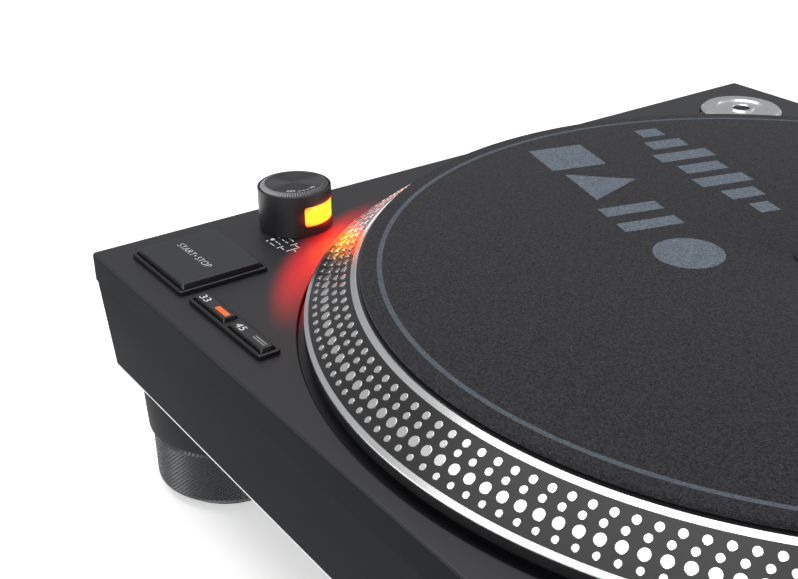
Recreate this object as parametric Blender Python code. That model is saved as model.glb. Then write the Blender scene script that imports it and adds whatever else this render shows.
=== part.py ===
"""Direct-drive record player with an S-shaped tonearm, built as separate pieces.

Metres, +Z up. The origin is on the floor under the middle of the cabinet, the start key is at the
front left, and the tonearm stands at the back right. Heights named *_RISE are above the deck.
"""

import math

import bmesh
import bpy
from mathutils import Matrix

# General gaps
GAP = 0.0003  # between pieces that are fixed to each other
SLIDE_GAP = 0.0004  # round a piece that moves in a hole
OVERCUT = 0.0010  # by which a cutter passes the face that it cuts

# Cabinet, worked out from the platter and the room left round it
PLATTER_RADIUS = 0.1660
MARGIN_LEFT = 0.0194
MARGIN_FRONT = 0.0089
MARGIN_BACK = 0.0121
TONEARM_BAY = 0.1016
DECK_HEIGHT = 0.0920
DECK_THICKNESS = 0.0111
CABINET_BOTTOM = 0.0447
CABINET_CORNER = 0.0015
BASE_INSET = 0.0004
BASE_TAPER = 0.0023

# Platter, mat and motor
WELL_GAP = 0.0023
WELL_DEPTH = 0.0030
RIM_BOTTOM_RISE = 0.0008
RIM_RISE = 0.0049
BEVEL_INNER_RADIUS = 0.1487
PLATTER_RISE = 0.0172
PLATTER_PLATE = 0.0060
HUB_RADIUS = 0.0240
MAT_RADIUS = 0.1473
MAT_THICKNESS = 0.0019
SPINDLE_RADIUS = 0.0036
SPINDLE_RISE = 0.0340
SPINDLE_POINT = 0.0020
BEARING_RADIUS = 0.0120
BEARING_FLANGE = 0.0220
BEARING_DEPTH = 0.0390
BEARING_END = 0.0040
STATOR_INNER = 0.0300
STATOR_OUTER = 0.0580
STATOR_THICKNESS = 0.0060
MAGNET_THICKNESS = 0.0060

# Feet
FOOT_FROM_SIDE = 0.0346
FOOT_FROM_FRONT = 0.0333
COLLAR_TOP_RADIUS = 0.0310
COLLAR_RADIUS = 0.0303
COLLAR_BOTTOM = 0.0270
FOOT_RADIUS = 0.0290
FOOT_TOP = 0.0255
FOOT_BOTTOM = 0.0030
PAD_RADIUS = 0.0240
STUD_RADIUS = 0.0060
FOOT_CHAMFER = 0.0015

# Start key, speed keys and their frames, from the front left corner
START_KEY = (0.0373, 0.0320)
START_KEY_AT = (0.0330, 0.0283)
KEY_RISE = 0.0035
KEY_CAP = 0.0021
KEY_CORNER = 0.0012
KEY_TRAVEL = 0.0010
KEY_FRAME = 0.0012
KEY_FRAME_RISE = 0.0018
KEY_PLAY = 0.0004
START_STEM = 0.0100
SPEED_KEY = (0.0216, 0.0052)
SPEED_KEY_AT = (0.0834, 0.0152)
SPEED_KEY_PITCH = 0.0252
SPEED_KEY_RISE = 0.0030
SPEED_KEY_CAP = 0.0018
SPEED_STEM = (0.0080, 0.0030)

# Power dial and strobe window, from the front left corner
DIAL_AT = (0.0228, 0.0753)
DIAL_RADIUS = 0.0142
DIAL_RISE = 0.0168
DIAL_WALL = 0.0018
DIAL_LIP = 0.0005
DIAL_CAP_SEAT = 0.0152
DIAL_CAP_RISE = 0.0178
DIAL_CAP_CHAMFER = 0.0022
PANE_RECESS = 0.0008
DIAL_SHAFT = 0.0040
WINDOW_LOW = 0.0041
WINDOW_HIGH = 0.0122
WINDOW_HALF_ANGLE = math.radians(47)

# Tonearm, from its vertical axis
PIVOT_MARGIN = 0.0493
PIVOT_BEARING = math.radians(28.3)
EFFECTIVE_LENGTH = 0.2300
OFFSET_ANGLE = math.radians(22)
SHELL_REACH = 0.0450
BEND_ANGLE = math.radians(20)
BEND_RADIUS = 0.0700
ARM_RISE = 0.0400
ARM_TUBE = 0.0050
ARM_BASE_RADIUS = 0.0380
ARM_BASE_STEM = 0.0300
ARM_BASE_FLANGE = 0.0060
ARM_BASE_RISE = 0.0140
COLUMN_RADIUS = 0.0150
COLUMN_PLATE = 0.0270
COLUMN_LOW_RISE = 0.0145
COLUMN_RISE = 0.0175
COLUMN_DEPTH_RISE = 0.0010
HEIGHT_RING_RADIUS = 0.0360
FRAME_WIDTH = 0.0380
FRAME_HEIGHT = 0.0290
FRAME_DEPTH = 0.0050
FRAME_BAR = 0.0025
SWIVEL_RADIUS = 0.0080
BLOCK_SIZE = (0.0220, 0.0180, 0.0160)
REAR_SHAFT = 0.0040
REAR_SHAFT_END = 0.0640
AXLE_RADIUS = 0.0025
WEIGHT_RADIUS = 0.0165
WEIGHT_FROM = 0.0370
WEIGHT_LENGTH = 0.0250
FORCE_RING_RADIUS = 0.0150
FORCE_RING_LENGTH = 0.0050
LIFT_BAR_RADIUS = 0.0255
LIFT_BAR_WIDTH = 0.0025
LIFT_BAR_HEIGHT = 0.0020
LIFT_PIN = 0.0018
LIFT_BAR_ANGLE = math.radians(-115)
LIFT_BAR_HALF = math.radians(32)
LIFT_PIN_FROM_AXIS = 0.0235
CUE_AXIS = (0.0248, -0.0100, 0.0240)
CUE_BRACKET = (0.0036, 0.0060)
CUE_HUB = 0.0032
CUE_WIDTH = 0.0036
CUE_REACH = 0.0340
CUE_TILT = math.radians(20)
SKATE_DIAL_AT = (0.0170, 0.0130)
SKATE_DIAL_RADIUS = 0.0055
SKATE_DIAL_HEIGHT = 0.0065
SHELL_SIZE = (0.0520, 0.0190, 0.0025)
SHELL_COLLAR = (0.0075, 0.0140)
SHELL_NECK = 0.0040
SHELL_NECK_LENGTH = 0.0100
SHELL_PLATE_FROM = 0.0060
FINGER_FROM_END = 0.0080
SHELL_FINGER = (0.0030, 0.0200)
CARTRIDGE_SIZE = (0.0280, 0.0160, 0.0125)
CARTRIDGE_SETBACK = 0.0010
SPACER_WIDTH = 0.0030
STYLUS_DROP = 0.0025
STYLUS_RADIUS = 0.0012

# Arm rest and its clip
REST_FROM_PIVOT = 0.0620
REST_POST = 0.0030
REST_FOOT = 0.0070
REST_LIP = 0.0025
REST_WIDTH = 0.0100
REST_SHELF = 0.0030
CLIP_LENGTH = 0.0130
CLIP_THICKNESS = 0.0016

# Pitch fader, lamp and adapter
FADER_FROM_RIGHT = 0.0280
FADER_FROM_FRONT = 0.0950
FADER_PLATE = (0.0340, 0.1500)
FADER_PLATE_THICKNESS = 0.0012
FADER_PLATE_CORNER = 0.0020
FADER_TRAVEL = 0.0500
FADER_KNOB = (0.0220, 0.0120, 0.0090)
FADER_STEM = (0.0040, 0.0060)
LAMP_MARGIN = 0.0284
LAMP_BEARING = math.radians(-41.9)
LAMP_RADIUS = 0.0065
LAMP_FLANGE = 0.0090
LAMP_CAP = 0.0014
LAMP_LENGTH = 0.0280
LAMP_KEY_SPACING = 0.0240
LAMP_KEY_RADIUS = 0.0045
ADAPTER_FROM_SIDE = 0.0360
ADAPTER_FROM_BACK = 0.0360
ADAPTER_RADIUS = 0.0190
ADAPTER_HEIGHT = 0.0080
ADAPTER_SUNK = 0.0050
ADAPTER_CHAMFER = 0.0020
SMALL_KEY_SUNK = 0.0060
SMALL_KEY_RISE = 0.0022
RESET_RADIUS = 0.0045
RESET_FROM_PLATE = 0.0140

# Inside the base
POCKET_PLAY = 0.0015
FLOOR_THICKNESS = 0.0050
BOARD_THICKNESS = 0.0016
CHIP_HEIGHT = 0.0016
BOARD_SIZE = (0.1800, 0.0850)
BOARD_AT = (0.0750, -0.0700)
CHIPS = (  # along and across the board, width, depth
    (-0.060, 0.010, 0.030, 0.022), (0.000, -0.012, 0.022, 0.022), (0.055, 0.012, 0.036, 0.012),
)
SUPPLY_SIZE = (0.0840, 0.0600)
SUPPLY_AT = (-0.1000, 0.0900)
SUPPLY_DROP = 0.0020
KEY_BOARD = (0.1000, 0.0320)
KEY_BOARD_AT = (0.0610, 0.0290)
KEY_BOARD_DROP = 0.0160
SWITCH_SIZE = (0.0060, 0.0050)
TRACK_SIZE = (0.0120, 0.1260, 0.0120)

# Rear connections
INLET_SIZE = (0.0300, 0.0200)
INLET_DEPTH = 0.0200
INLET_FROM_LEFT = 0.0900
SOCKET_BAY = (0.0640, 0.0240)
SOCKET_BAY_DEPTH = 0.0160
SOCKET_BAY_FROM_RIGHT = 0.0900
SOCKET_RADIUS = 0.0042
SOCKET_BORE = 0.0016
SOCKET_LENGTH = 0.0100
CONNECTION_HEIGHT = 0.0630
INLET_MOUTH = (0.0160, 0.0086)
INLET_MOUTH_CORNER = 0.0040
INLET_MOUTH_DEPTH = 0.0120
PIN_RADIUS = 0.0012
PIN_SPACING = 0.0086
PIN_TIP = 0.0015
SOCKET_PANEL = 0.0020
SOCKET_SPACING = 0.0180
SOCKETS_FROM_MIDDLE = -0.0110
TERMINAL_FROM_MIDDLE = 0.0200
TERMINAL_RADIUS = 0.0055
TERMINAL_LENGTH = 0.0090

CABINET_WIDTH = MARGIN_LEFT + 2 * PLATTER_RADIUS + TONEARM_BAY
CABINET_DEPTH = MARGIN_FRONT + 2 * PLATTER_RADIUS + MARGIN_BACK
LEFT = -CABINET_WIDTH / 2
FRONT = -CABINET_DEPTH / 2
RIGHT = CABINET_WIDTH / 2
BACK = CABINET_DEPTH / 2
SEAM = DECK_HEIGHT - DECK_THICKNESS
PLATTER = (LEFT + MARGIN_LEFT + PLATTER_RADIUS, FRONT + MARGIN_FRONT + PLATTER_RADIUS)
PIVOT_DISTANCE = PLATTER_RADIUS + PIVOT_MARGIN
PIVOT = (
    PLATTER[0] + PIVOT_DISTANCE * math.cos(PIVOT_BEARING),
    PLATTER[1] + PIVOT_DISTANCE * math.sin(PIVOT_BEARING),
)
DIAL = (LEFT + DIAL_AT[0], FRONT + DIAL_AT[1])
START = (LEFT + START_KEY_AT[0], FRONT + START_KEY_AT[1])
SPEED = (LEFT + SPEED_KEY_AT[0], FRONT + SPEED_KEY_AT[1])
FADER = (RIGHT - FADER_FROM_RIGHT, FRONT + FADER_FROM_FRONT)
LAMP_DISTANCE = PLATTER_RADIUS + LAMP_MARGIN
LAMP = (
    PLATTER[0] + LAMP_DISTANCE * math.cos(LAMP_BEARING),
    PLATTER[1] + LAMP_DISTANCE * math.sin(LAMP_BEARING),
)
LAMP_KEY = (LAMP[0] + LAMP_KEY_SPACING, LAMP[1])
ADAPTER = (LEFT + ADAPTER_FROM_SIDE, BACK - ADAPTER_FROM_BACK)
RESET = (FADER[0], FADER[1] + FADER_PLATE[1] / 2 + RESET_FROM_PLATE)

BLACK_PAINT = ((0.035, 0.036, 0.040), 0.45, 0.0)
BASE_BLACK = ((0.028, 0.029, 0.031), 0.55, 0.0)
RUBBER = ((0.020, 0.020, 0.021), 0.75, 0.0)
BLACK_PLASTIC = ((0.022, 0.022, 0.024), 0.40, 0.0)
ALUMINIUM = ((0.75, 0.75, 0.77), 0.30, 1.0)
STEEL = ((0.60, 0.60, 0.62), 0.35, 1.0)
FELT = ((0.045, 0.045, 0.047), 0.95, 0.0)
BOARD = ((0.03, 0.16, 0.07), 0.60, 0.0)
COPPER = ((0.70, 0.33, 0.16), 0.40, 1.0)
LENS = ((0.80, 0.10, 0.03), 0.20, 0.0)


def clear_scene():
    for item in list(bpy.data.objects):
        bpy.data.objects.remove(item)


def material(name, finish):
    colour, roughness, metallic = finish
    made = bpy.data.materials.new(name)
    made.use_nodes = True
    shader = made.node_tree.nodes["Principled BSDF"]
    shader.inputs["Base Color"].default_value = (*colour, 1)
    shader.inputs["Roughness"].default_value = roughness
    shader.inputs["Metallic"].default_value = metallic
    return made


def make(name, shape, finish, place=(0, 0, 0), turn=(0, 0, 0)):
    """One object from a bmesh, shaded smooth but for its sharp edges."""
    bmesh.ops.recalc_face_normals(shape, faces=shape.faces)
    mesh = bpy.data.meshes.new(name)
    shape.to_mesh(mesh)
    shape.free()
    mesh.shade_smooth()
    mesh.set_sharp_from_angle(angle=math.radians(35))
    made = bpy.data.objects.new(name, mesh)
    bpy.context.scene.collection.objects.link(made)
    made.location = place
    made.rotation_euler = turn
    mesh.materials.append(material(name, finish))
    return made


def combine(target, shape, operation, place=(0, 0, 0), turn=(0, 0, 0)):
    """Cuts a shape from an object, or joins it on, with a hidden helper."""
    helper = make(f"{target.name}.{operation.lower()}", shape, BLACK_PLASTIC, place, turn)
    helper.hide_render = True
    helper.display_type = "WIRE"
    modifier = target.modifiers.new(operation.title(), "BOOLEAN")
    modifier.operation = operation
    modifier.object = helper
    modifier.solver = "EXACT"


def turned(profile, steps):
    """A closed outline of (radius, height) points turned about Z."""
    shape = bmesh.new()
    points = [shape.verts.new((radius, 0, height)) for radius, height in profile]
    edges = [shape.edges.new((points[i - 1], points[i])) for i in range(len(points))]
    bmesh.ops.spin(
        shape, geom=points + edges, cent=(0, 0, 0), axis=(0, 0, 1), dvec=(0, 0, 0),
        angle=math.tau, steps=steps, use_merge=True, use_duplicate=False,
    )
    bmesh.ops.remove_doubles(shape, verts=shape.verts, dist=1e-7)
    return shape


def tube(inner, outer, low, high, steps=32):
    return turned([(inner, low), (outer, low), (outer, high), (inner, high)], steps)


def arc(centre, radius, start, end, steps):
    """Points along a circular arc, ends included."""
    return [
        (
            centre[0] + radius * math.cos(start + (end - start) * i / steps),
            centre[1] + radius * math.sin(start + (end - start) * i / steps),
        )
        for i in range(steps + 1)
    ]


def round_rectangle(width, depth, corner, steps=3):
    x, y = width / 2 - corner, depth / 2 - corner
    quarter = math.pi / 2
    points = []
    for number, centre in enumerate(((x, y), (-x, y), (-x, -y), (x, -y))):
        points += arc(centre, corner, number * quarter, (number + 1) * quarter, steps)
    return points


def slab(outline, low, high, top_scale=None):
    """A flat outline raised from one height to another; top_scale widens the upper outline."""
    shape = bmesh.new()
    wide_x, wide_y = top_scale or (1, 1)
    lower = [shape.verts.new((x, y, low)) for x, y in outline]
    upper = [shape.verts.new((x * wide_x, y * wide_y, high)) for x, y in outline]
    shape.faces.new(lower)
    shape.faces.new(upper)
    for i in range(len(outline)):
        shape.faces.new((lower[i - 1], lower[i], upper[i], upper[i - 1]))
    return shape


def rod(radius, low, high, steps=24):
    return slab(arc((0, 0), radius, 0, math.tau * (1 - 1 / steps), steps - 1), low, high)


def block(width, depth, low, high):
    x, y = width / 2, depth / 2
    return slab([(-x, -y), (x, -y), (x, y), (-x, y)], low, high)


def key_hole(size, extra=SLIDE_GAP):
    return block(size[0] + 2 * extra, size[1] + 2 * extra, SEAM - OVERCUT, DECK_HEIGHT + OVERCUT)


def speed_places():
    half = SPEED_KEY_PITCH / 2
    return {"33": (SPEED[0] - half, SPEED[1]), "45": (SPEED[0] + half, SPEED[1])}


def foot_places():
    x, y = RIGHT - FOOT_FROM_SIDE, BACK - FOOT_FROM_FRONT
    return {
        "front_left": (-x, -y), "front_right": (x, -y),
        "rear_left": (-x, y), "rear_right": (x, y),
    }


def build_top_cabinet():
    outline = round_rectangle(CABINET_WIDTH, CABINET_DEPTH, CABINET_CORNER)
    deck = make("top_cabinet", slab(outline, SEAM, DECK_HEIGHT), BLACK_PAINT)
    low, high = SEAM - OVERCUT, DECK_HEIGHT + OVERCUT
    well = rod(PLATTER_RADIUS + WELL_GAP, DECK_HEIGHT - WELL_DEPTH, high, 72)
    combine(deck, well, "DIFFERENCE", (*PLATTER, 0))
    combine(deck, rod(BEARING_RADIUS + GAP, low, high), "DIFFERENCE", (*PLATTER, 0))
    stem = (START_STEM, START_STEM)
    combine(deck, key_hole(stem), "DIFFERENCE", (*START, 0))
    for place in speed_places().values():
        combine(deck, key_hole(SPEED_STEM), "DIFFERENCE", (*place, 0))
    combine(deck, rod(DIAL_SHAFT + SLIDE_GAP, low, high), "DIFFERENCE", (*DIAL, 0))
    fader_slot = (FADER_STEM[0], FADER_STEM[1] + 2 * FADER_TRAVEL)
    combine(deck, key_hole(fader_slot, 2 * SLIDE_GAP), "DIFFERENCE", (*FADER, 0))
    combine(deck, rod(LAMP_RADIUS + SLIDE_GAP, low, high), "DIFFERENCE", (*LAMP, 0))
    key_bore = rod(LAMP_KEY_RADIUS + SLIDE_GAP, DECK_HEIGHT - SMALL_KEY_SUNK, high)
    combine(deck, key_bore, "DIFFERENCE", (*LAMP_KEY, 0))
    seat = rod(ADAPTER_RADIUS + SLIDE_GAP, DECK_HEIGHT - ADAPTER_SUNK, high, 32)
    combine(deck, seat, "DIFFERENCE", (*ADAPTER, 0))
    reset_bore = rod(RESET_RADIUS + SLIDE_GAP, DECK_HEIGHT - SMALL_KEY_SUNK, high)
    combine(deck, reset_bore, "DIFFERENCE", (*RESET, 0))


def build_base_cabinet():
    """A heavy block that narrows downwards, with a pocket for each thing it holds."""
    top, low = SEAM - GAP, CABINET_BOTTOM
    inset = BASE_INSET + BASE_TAPER
    width, depth = CABINET_WIDTH - 2 * inset, CABINET_DEPTH - 2 * inset
    widen = (1 + 2 * BASE_TAPER / width, 1 + 2 * BASE_TAPER / depth)
    outline = round_rectangle(width, depth, CABINET_CORNER)
    base = make("base_cabinet", slab(outline, low, top, widen), BASE_BLACK)
    floor, over = low + FLOOR_THICKNESS, top + OVERCUT

    def pocket(size, place, bottom):
        shape = block(size[0] + 2 * POCKET_PLAY, size[1] + 2 * POCKET_PLAY, bottom, over)
        combine(base, shape, "DIFFERENCE", (*place, 0))

    bearing = rod(BEARING_RADIUS + POCKET_PLAY, floor, over)
    combine(base, bearing, "DIFFERENCE", (*PLATTER, 0))
    board_floor = SEAM - BOARD_THICKNESS - CHIP_HEIGHT - 2 * POCKET_PLAY
    pocket(BOARD_SIZE, (PLATTER[0] + BOARD_AT[0], PLATTER[1] + BOARD_AT[1]), board_floor)
    pocket(SUPPLY_SIZE, (PLATTER[0] + SUPPLY_AT[0], PLATTER[1] + SUPPLY_AT[1]), floor)
    key_floor = DECK_HEIGHT - KEY_BOARD_DROP - POCKET_PLAY
    pocket(KEY_BOARD, (LEFT + KEY_BOARD_AT[0], FRONT + KEY_BOARD_AT[1]), key_floor)
    pocket(TRACK_SIZE[:2], FADER, SEAM - TRACK_SIZE[2] - 2 * POCKET_PLAY)
    lamp = rod(LAMP_RADIUS + POCKET_PLAY, DECK_HEIGHT - LAMP_LENGTH - POCKET_PLAY, over)
    combine(base, lamp, "DIFFERENCE", (*LAMP, 0))
    for x, size, deep in (
        (LEFT + INLET_FROM_LEFT, INLET_SIZE, INLET_DEPTH),
        (RIGHT - SOCKET_BAY_FROM_RIGHT, SOCKET_BAY, SOCKET_BAY_DEPTH),
    ):
        bay_low, bay_high = CONNECTION_HEIGHT - size[1] / 2, CONNECTION_HEIGHT + size[1] / 2
        combine(base, block(size[0], 2 * deep, bay_low, bay_high), "DIFFERENCE", (x, BACK, 0))


def build_feet():
    collar_top = CABINET_BOTTOM - GAP
    collar = [
        (STUD_RADIUS + GAP, COLLAR_BOTTOM), (COLLAR_RADIUS, COLLAR_BOTTOM),
        (COLLAR_TOP_RADIUS, collar_top), (STUD_RADIUS + GAP, collar_top),
    ]
    chamfer = FOOT_CHAMFER
    ring = [
        (0, FOOT_BOTTOM), (FOOT_RADIUS - 2 * chamfer, FOOT_BOTTOM),
        (FOOT_RADIUS, FOOT_BOTTOM + chamfer), (FOOT_RADIUS, FOOT_TOP - chamfer / 2),
        (FOOT_RADIUS - chamfer / 2, FOOT_TOP), (STUD_RADIUS, FOOT_TOP),
        (STUD_RADIUS, collar_top), (0, collar_top),
    ]
    for corner, place in foot_places().items():
        make(f"foot_collar_{corner}", turned(collar, 28), RUBBER, (*place, 0))
        make(f"foot_ring_{corner}", turned(ring, 32), BLACK_PLASTIC, (*place, 0))
        make(f"foot_pad_{corner}", rod(PAD_RADIUS, 0, FOOT_BOTTOM - GAP), RUBBER, (*place, 0))


def build_platter():
    """The platter is solid down to its rim, but for a ring-shaped recess that holds the magnet."""
    top, under = PLATTER_RISE, PLATTER_RISE - PLATTER_PLATE
    bore = SPINDLE_RADIUS + GAP
    profile = [
        (bore, RIM_BOTTOM_RISE), (HUB_RADIUS, RIM_BOTTOM_RISE), (HUB_RADIUS, under),
        (STATOR_OUTER + POCKET_PLAY, under), (STATOR_OUTER + POCKET_PLAY, RIM_BOTTOM_RISE),
        (PLATTER_RADIUS, RIM_BOTTOM_RISE), (PLATTER_RADIUS, RIM_RISE),
        (BEVEL_INNER_RADIUS, top), (bore, top),
    ]
    place = (*PLATTER, DECK_HEIGHT)
    make("platter", turned(profile, 72), ALUMINIUM, place)
    magnet = tube(STATOR_INNER, STATOR_OUTER, under - GAP - MAGNET_THICKNESS, under - GAP)
    make("rotor_magnet", magnet, STEEL, place)
    mat_low = top + GAP
    mat = tube(SPINDLE_RADIUS + SLIDE_GAP, MAT_RADIUS, mat_low, mat_low + MAT_THICKNESS, 72)
    make("slipmat", mat, FELT, place)
    shaft_low = -BEARING_DEPTH + BEARING_END
    spindle = [
        (0, shaft_low), (SPINDLE_RADIUS, shaft_low), (SPINDLE_RADIUS, SPINDLE_RISE - SPINDLE_POINT),
        (SPINDLE_RADIUS - SPINDLE_POINT, SPINDLE_RISE), (0, SPINDLE_RISE),
    ]
    make("spindle", turned(spindle, 24), STEEL, place)
    seat = -WELL_DEPTH + GAP
    flange_top = RIM_BOTTOM_RISE - 2 * GAP
    housing = [
        (0, -BEARING_DEPTH), (BEARING_RADIUS, -BEARING_DEPTH), (BEARING_RADIUS, seat),
        (BEARING_FLANGE, seat), (BEARING_FLANGE, flange_top), (bore, flange_top),
        (bore, shaft_low - GAP), (0, shaft_low - GAP),
    ]
    make("spindle_bearing", turned(housing, 24), STEEL, place)
    stator = tube(STATOR_INNER, STATOR_OUTER, seat, seat + STATOR_THICKNESS)
    make("motor_stator", stator, COPPER, place)


def frame_outline(size):
    return (size[0] + 2 * (KEY_PLAY + KEY_FRAME), size[1] + 2 * (KEY_PLAY + KEY_FRAME))


def build_keys():
    low = DECK_HEIGHT + GAP
    wide, deep = frame_outline(START_KEY)
    outline = round_rectangle(wide, deep, KEY_CORNER)
    top = DECK_HEIGHT + KEY_FRAME_RISE
    bezel = make("start_stop_bezel", slab(outline, low, top), BLACK_PLASTIC, (*START, 0))
    hole = block(START_KEY[0] + 2 * KEY_PLAY, START_KEY[1] + 2 * KEY_PLAY, low - OVERCUT, top + OVERCUT)
    combine(bezel, hole, "DIFFERENCE", (*START, 0))
    foot = SEAM - GAP
    key_top = DECK_HEIGHT + KEY_RISE
    cap = slab(round_rectangle(*START_KEY, KEY_CORNER), key_top - KEY_CAP, key_top)
    key = make("start_stop_button", cap, BLACK_PLASTIC, (*START, 0))
    stem = block(START_STEM, START_STEM, foot, key_top - KEY_CAP / 2)
    combine(key, stem, "UNION", (*START, 0))
    wide, deep = frame_outline((SPEED_KEY[0] + SPEED_KEY_PITCH, SPEED_KEY[1]))
    outline = round_rectangle(wide, deep, KEY_CORNER)
    bezel = make("speed_key_bezel", slab(outline, low, top), BLACK_PLASTIC, (*SPEED, 0))
    for speed, place in speed_places().items():
        hole = block(SPEED_KEY[0] + 2 * KEY_PLAY, SPEED_KEY[1] + 2 * KEY_PLAY, low - OVERCUT, top + OVERCUT)
        combine(bezel, hole, "DIFFERENCE", (*place, 0))
        key_top = DECK_HEIGHT + SPEED_KEY_RISE
        cap = slab(round_rectangle(*SPEED_KEY, KEY_CORNER / 2), key_top - SPEED_KEY_CAP, key_top)
        key = make(f"speed_button_{speed}", cap, BLACK_PLASTIC, (*place, 0))
        stem = block(*SPEED_STEM, foot, key_top - SPEED_KEY_CAP / 2)
        combine(key, stem, "UNION", (*place, 0))
    board_top = DECK_HEIGHT - KEY_BOARD_DROP + BOARD_THICKNESS
    board = make(
        "key_circuit_board", block(*KEY_BOARD, DECK_HEIGHT - KEY_BOARD_DROP, board_top), BOARD,
        (LEFT + KEY_BOARD_AT[0], FRONT + KEY_BOARD_AT[1], 0),
    )
    switch_top = foot - KEY_TRAVEL - GAP
    for place in (START, *speed_places().values()):
        switch = block(*SWITCH_SIZE, board_top - BOARD_THICKNESS / 2, switch_top)
        combine(board, switch, "UNION", (*place, 0))
    reset = rod(RESET_RADIUS, -SMALL_KEY_SUNK + KEY_TRAVEL + GAP, SMALL_KEY_RISE)
    make("pitch_reset_button", reset, BLACK_PLASTIC, (*RESET, DECK_HEIGHT))


def sector(inner, outer, middle, half_angle, low, high, steps):
    """A piece of a ring, between two angles."""
    outside = arc((0, 0), outer, middle - half_angle, middle + half_angle, steps)
    inside = arc((0, 0), inner, middle + half_angle, middle - half_angle, steps)
    return slab(outside + inside, low, high)


def build_dial():
    place = (*DIAL, DECK_HEIGHT)
    facing = math.atan2(PLATTER[1] - DIAL[1], PLATTER[0] - DIAL[0])
    inner = DIAL_RADIUS - DIAL_WALL
    seat = DIAL_RADIUS - DIAL_LIP
    sleeve = [
        (inner, GAP), (DIAL_RADIUS, GAP), (DIAL_RADIUS, DIAL_RISE),
        (seat, DIAL_RISE), (seat, DIAL_CAP_SEAT), (inner, DIAL_CAP_SEAT),
    ]
    housing = make("dial_housing", turned(sleeve, 40), BLACK_PLASTIC, place)
    cutter = sector(
        inner - DIAL_WALL, DIAL_RADIUS + DIAL_WALL, facing, WINDOW_HALF_ANGLE, WINDOW_LOW, WINDOW_HIGH, 14
    )
    combine(housing, cutter, "DIFFERENCE", place)
    narrower = WINDOW_HALF_ANGLE - GAP / DIAL_RADIUS * 1.5
    pane = sector(
        inner - PANE_RECESS, DIAL_RADIUS - GAP, facing, narrower, WINDOW_LOW + GAP, WINDOW_HIGH - GAP, 14
    )
    make("strobe_window", pane, LENS, place)
    rim = seat - SLIDE_GAP
    edge = DIAL_CAP_SEAT + GAP
    cap = [
        (0, -DECK_THICKNESS), (DIAL_SHAFT, -DECK_THICKNESS), (DIAL_SHAFT, edge), (rim, edge),
        (rim, DIAL_RISE), (rim - DIAL_CAP_CHAMFER, DIAL_CAP_RISE), (0, DIAL_CAP_RISE),
    ]
    make("power_dial", turned(cap, 40), BLACK_PLASTIC, place)


def build_electronics():
    """The main board lies in a shallow pocket, with its chips up; the supply fills a deep one."""
    at = (PLATTER[0] + BOARD_AT[0], PLATTER[1] + BOARD_AT[1])
    low = SEAM - BOARD_THICKNESS - CHIP_HEIGHT - POCKET_PLAY
    top = low + BOARD_THICKNESS
    board = make("main_circuit_board", block(*BOARD_SIZE, low, top), BOARD, (*at, 0))
    for x, y, wide, deep in CHIPS:
        chip = block(wide, deep, top - BOARD_THICKNESS / 2, top + CHIP_HEIGHT)
        combine(board, chip, "UNION", (at[0] + x, at[1] + y, 0))
    supply = block(*SUPPLY_SIZE, CABINET_BOTTOM + FLOOR_THICKNESS + GAP, SEAM - SUPPLY_DROP)
    make("power_supply", supply, STEEL, (PLATTER[0] + SUPPLY_AT[0], PLATTER[1] + SUPPLY_AT[1], 0))


def build_pitch_fader():
    low = DECK_HEIGHT + GAP
    top = low + FADER_PLATE_THICKNESS
    plate = make(
        "pitch_plate", slab(round_rectangle(*FADER_PLATE, FADER_PLATE_CORNER), low, top), BLACK_PLASTIC, (*FADER, 0)
    )
    slot = block(
        FADER_STEM[0] + 2 * SLIDE_GAP, FADER_STEM[1] + 2 * (FADER_TRAVEL + SLIDE_GAP),
        low - OVERCUT, top + OVERCUT,
    )
    combine(plate, slot, "DIFFERENCE", (*FADER, 0))
    wide, deep, tall = FADER_KNOB
    knob_low = top + GAP
    knob = make("pitch_fader_knob", block(wide, deep, knob_low, knob_low + tall), BLACK_PLASTIC, (*FADER, 0))
    track_top = SEAM - GAP
    stem = block(*FADER_STEM, track_top + GAP, knob_low + tall / 2)
    combine(knob, stem, "UNION", (*FADER, 0))
    track = block(*TRACK_SIZE[:2], track_top - TRACK_SIZE[2], track_top)
    make("pitch_fader_track", track, STEEL, (*FADER, 0))


def build_lamp():
    profile = [
        (0, -LAMP_LENGTH), (LAMP_RADIUS, -LAMP_LENGTH), (LAMP_RADIUS, GAP), (LAMP_FLANGE, GAP),
        (LAMP_FLANGE, GAP + LAMP_CAP), (0, GAP + LAMP_CAP),
    ]
    make("stylus_lamp", turned(profile, 28), ALUMINIUM, (*LAMP, DECK_HEIGHT))
    key = rod(LAMP_KEY_RADIUS, -SMALL_KEY_SUNK + KEY_TRAVEL + GAP, SMALL_KEY_RISE)
    make("lamp_button", key, ALUMINIUM, (*LAMP_KEY, DECK_HEIGHT))


def build_adapter():
    low = -ADAPTER_SUNK + GAP
    bore = SPINDLE_RADIUS + SLIDE_GAP
    profile = [
        (bore, low), (ADAPTER_RADIUS, low), (ADAPTER_RADIUS, low + ADAPTER_HEIGHT - ADAPTER_CHAMFER),
        (ADAPTER_RADIUS - ADAPTER_CHAMFER, low + ADAPTER_HEIGHT), (bore, low + ADAPTER_HEIGHT),
    ]
    make("adapter_45", turned(profile, 32), ALUMINIUM, (*ADAPTER, DECK_HEIGHT))


def arm_point(along, outward, rise=0.0):
    """A point measured from the tonearm's axis: along the parked arm, away from the platter, up."""
    return (PIVOT[0] + outward, PIVOT[1] - along, DECK_HEIGHT + ARM_RISE + rise)


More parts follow.
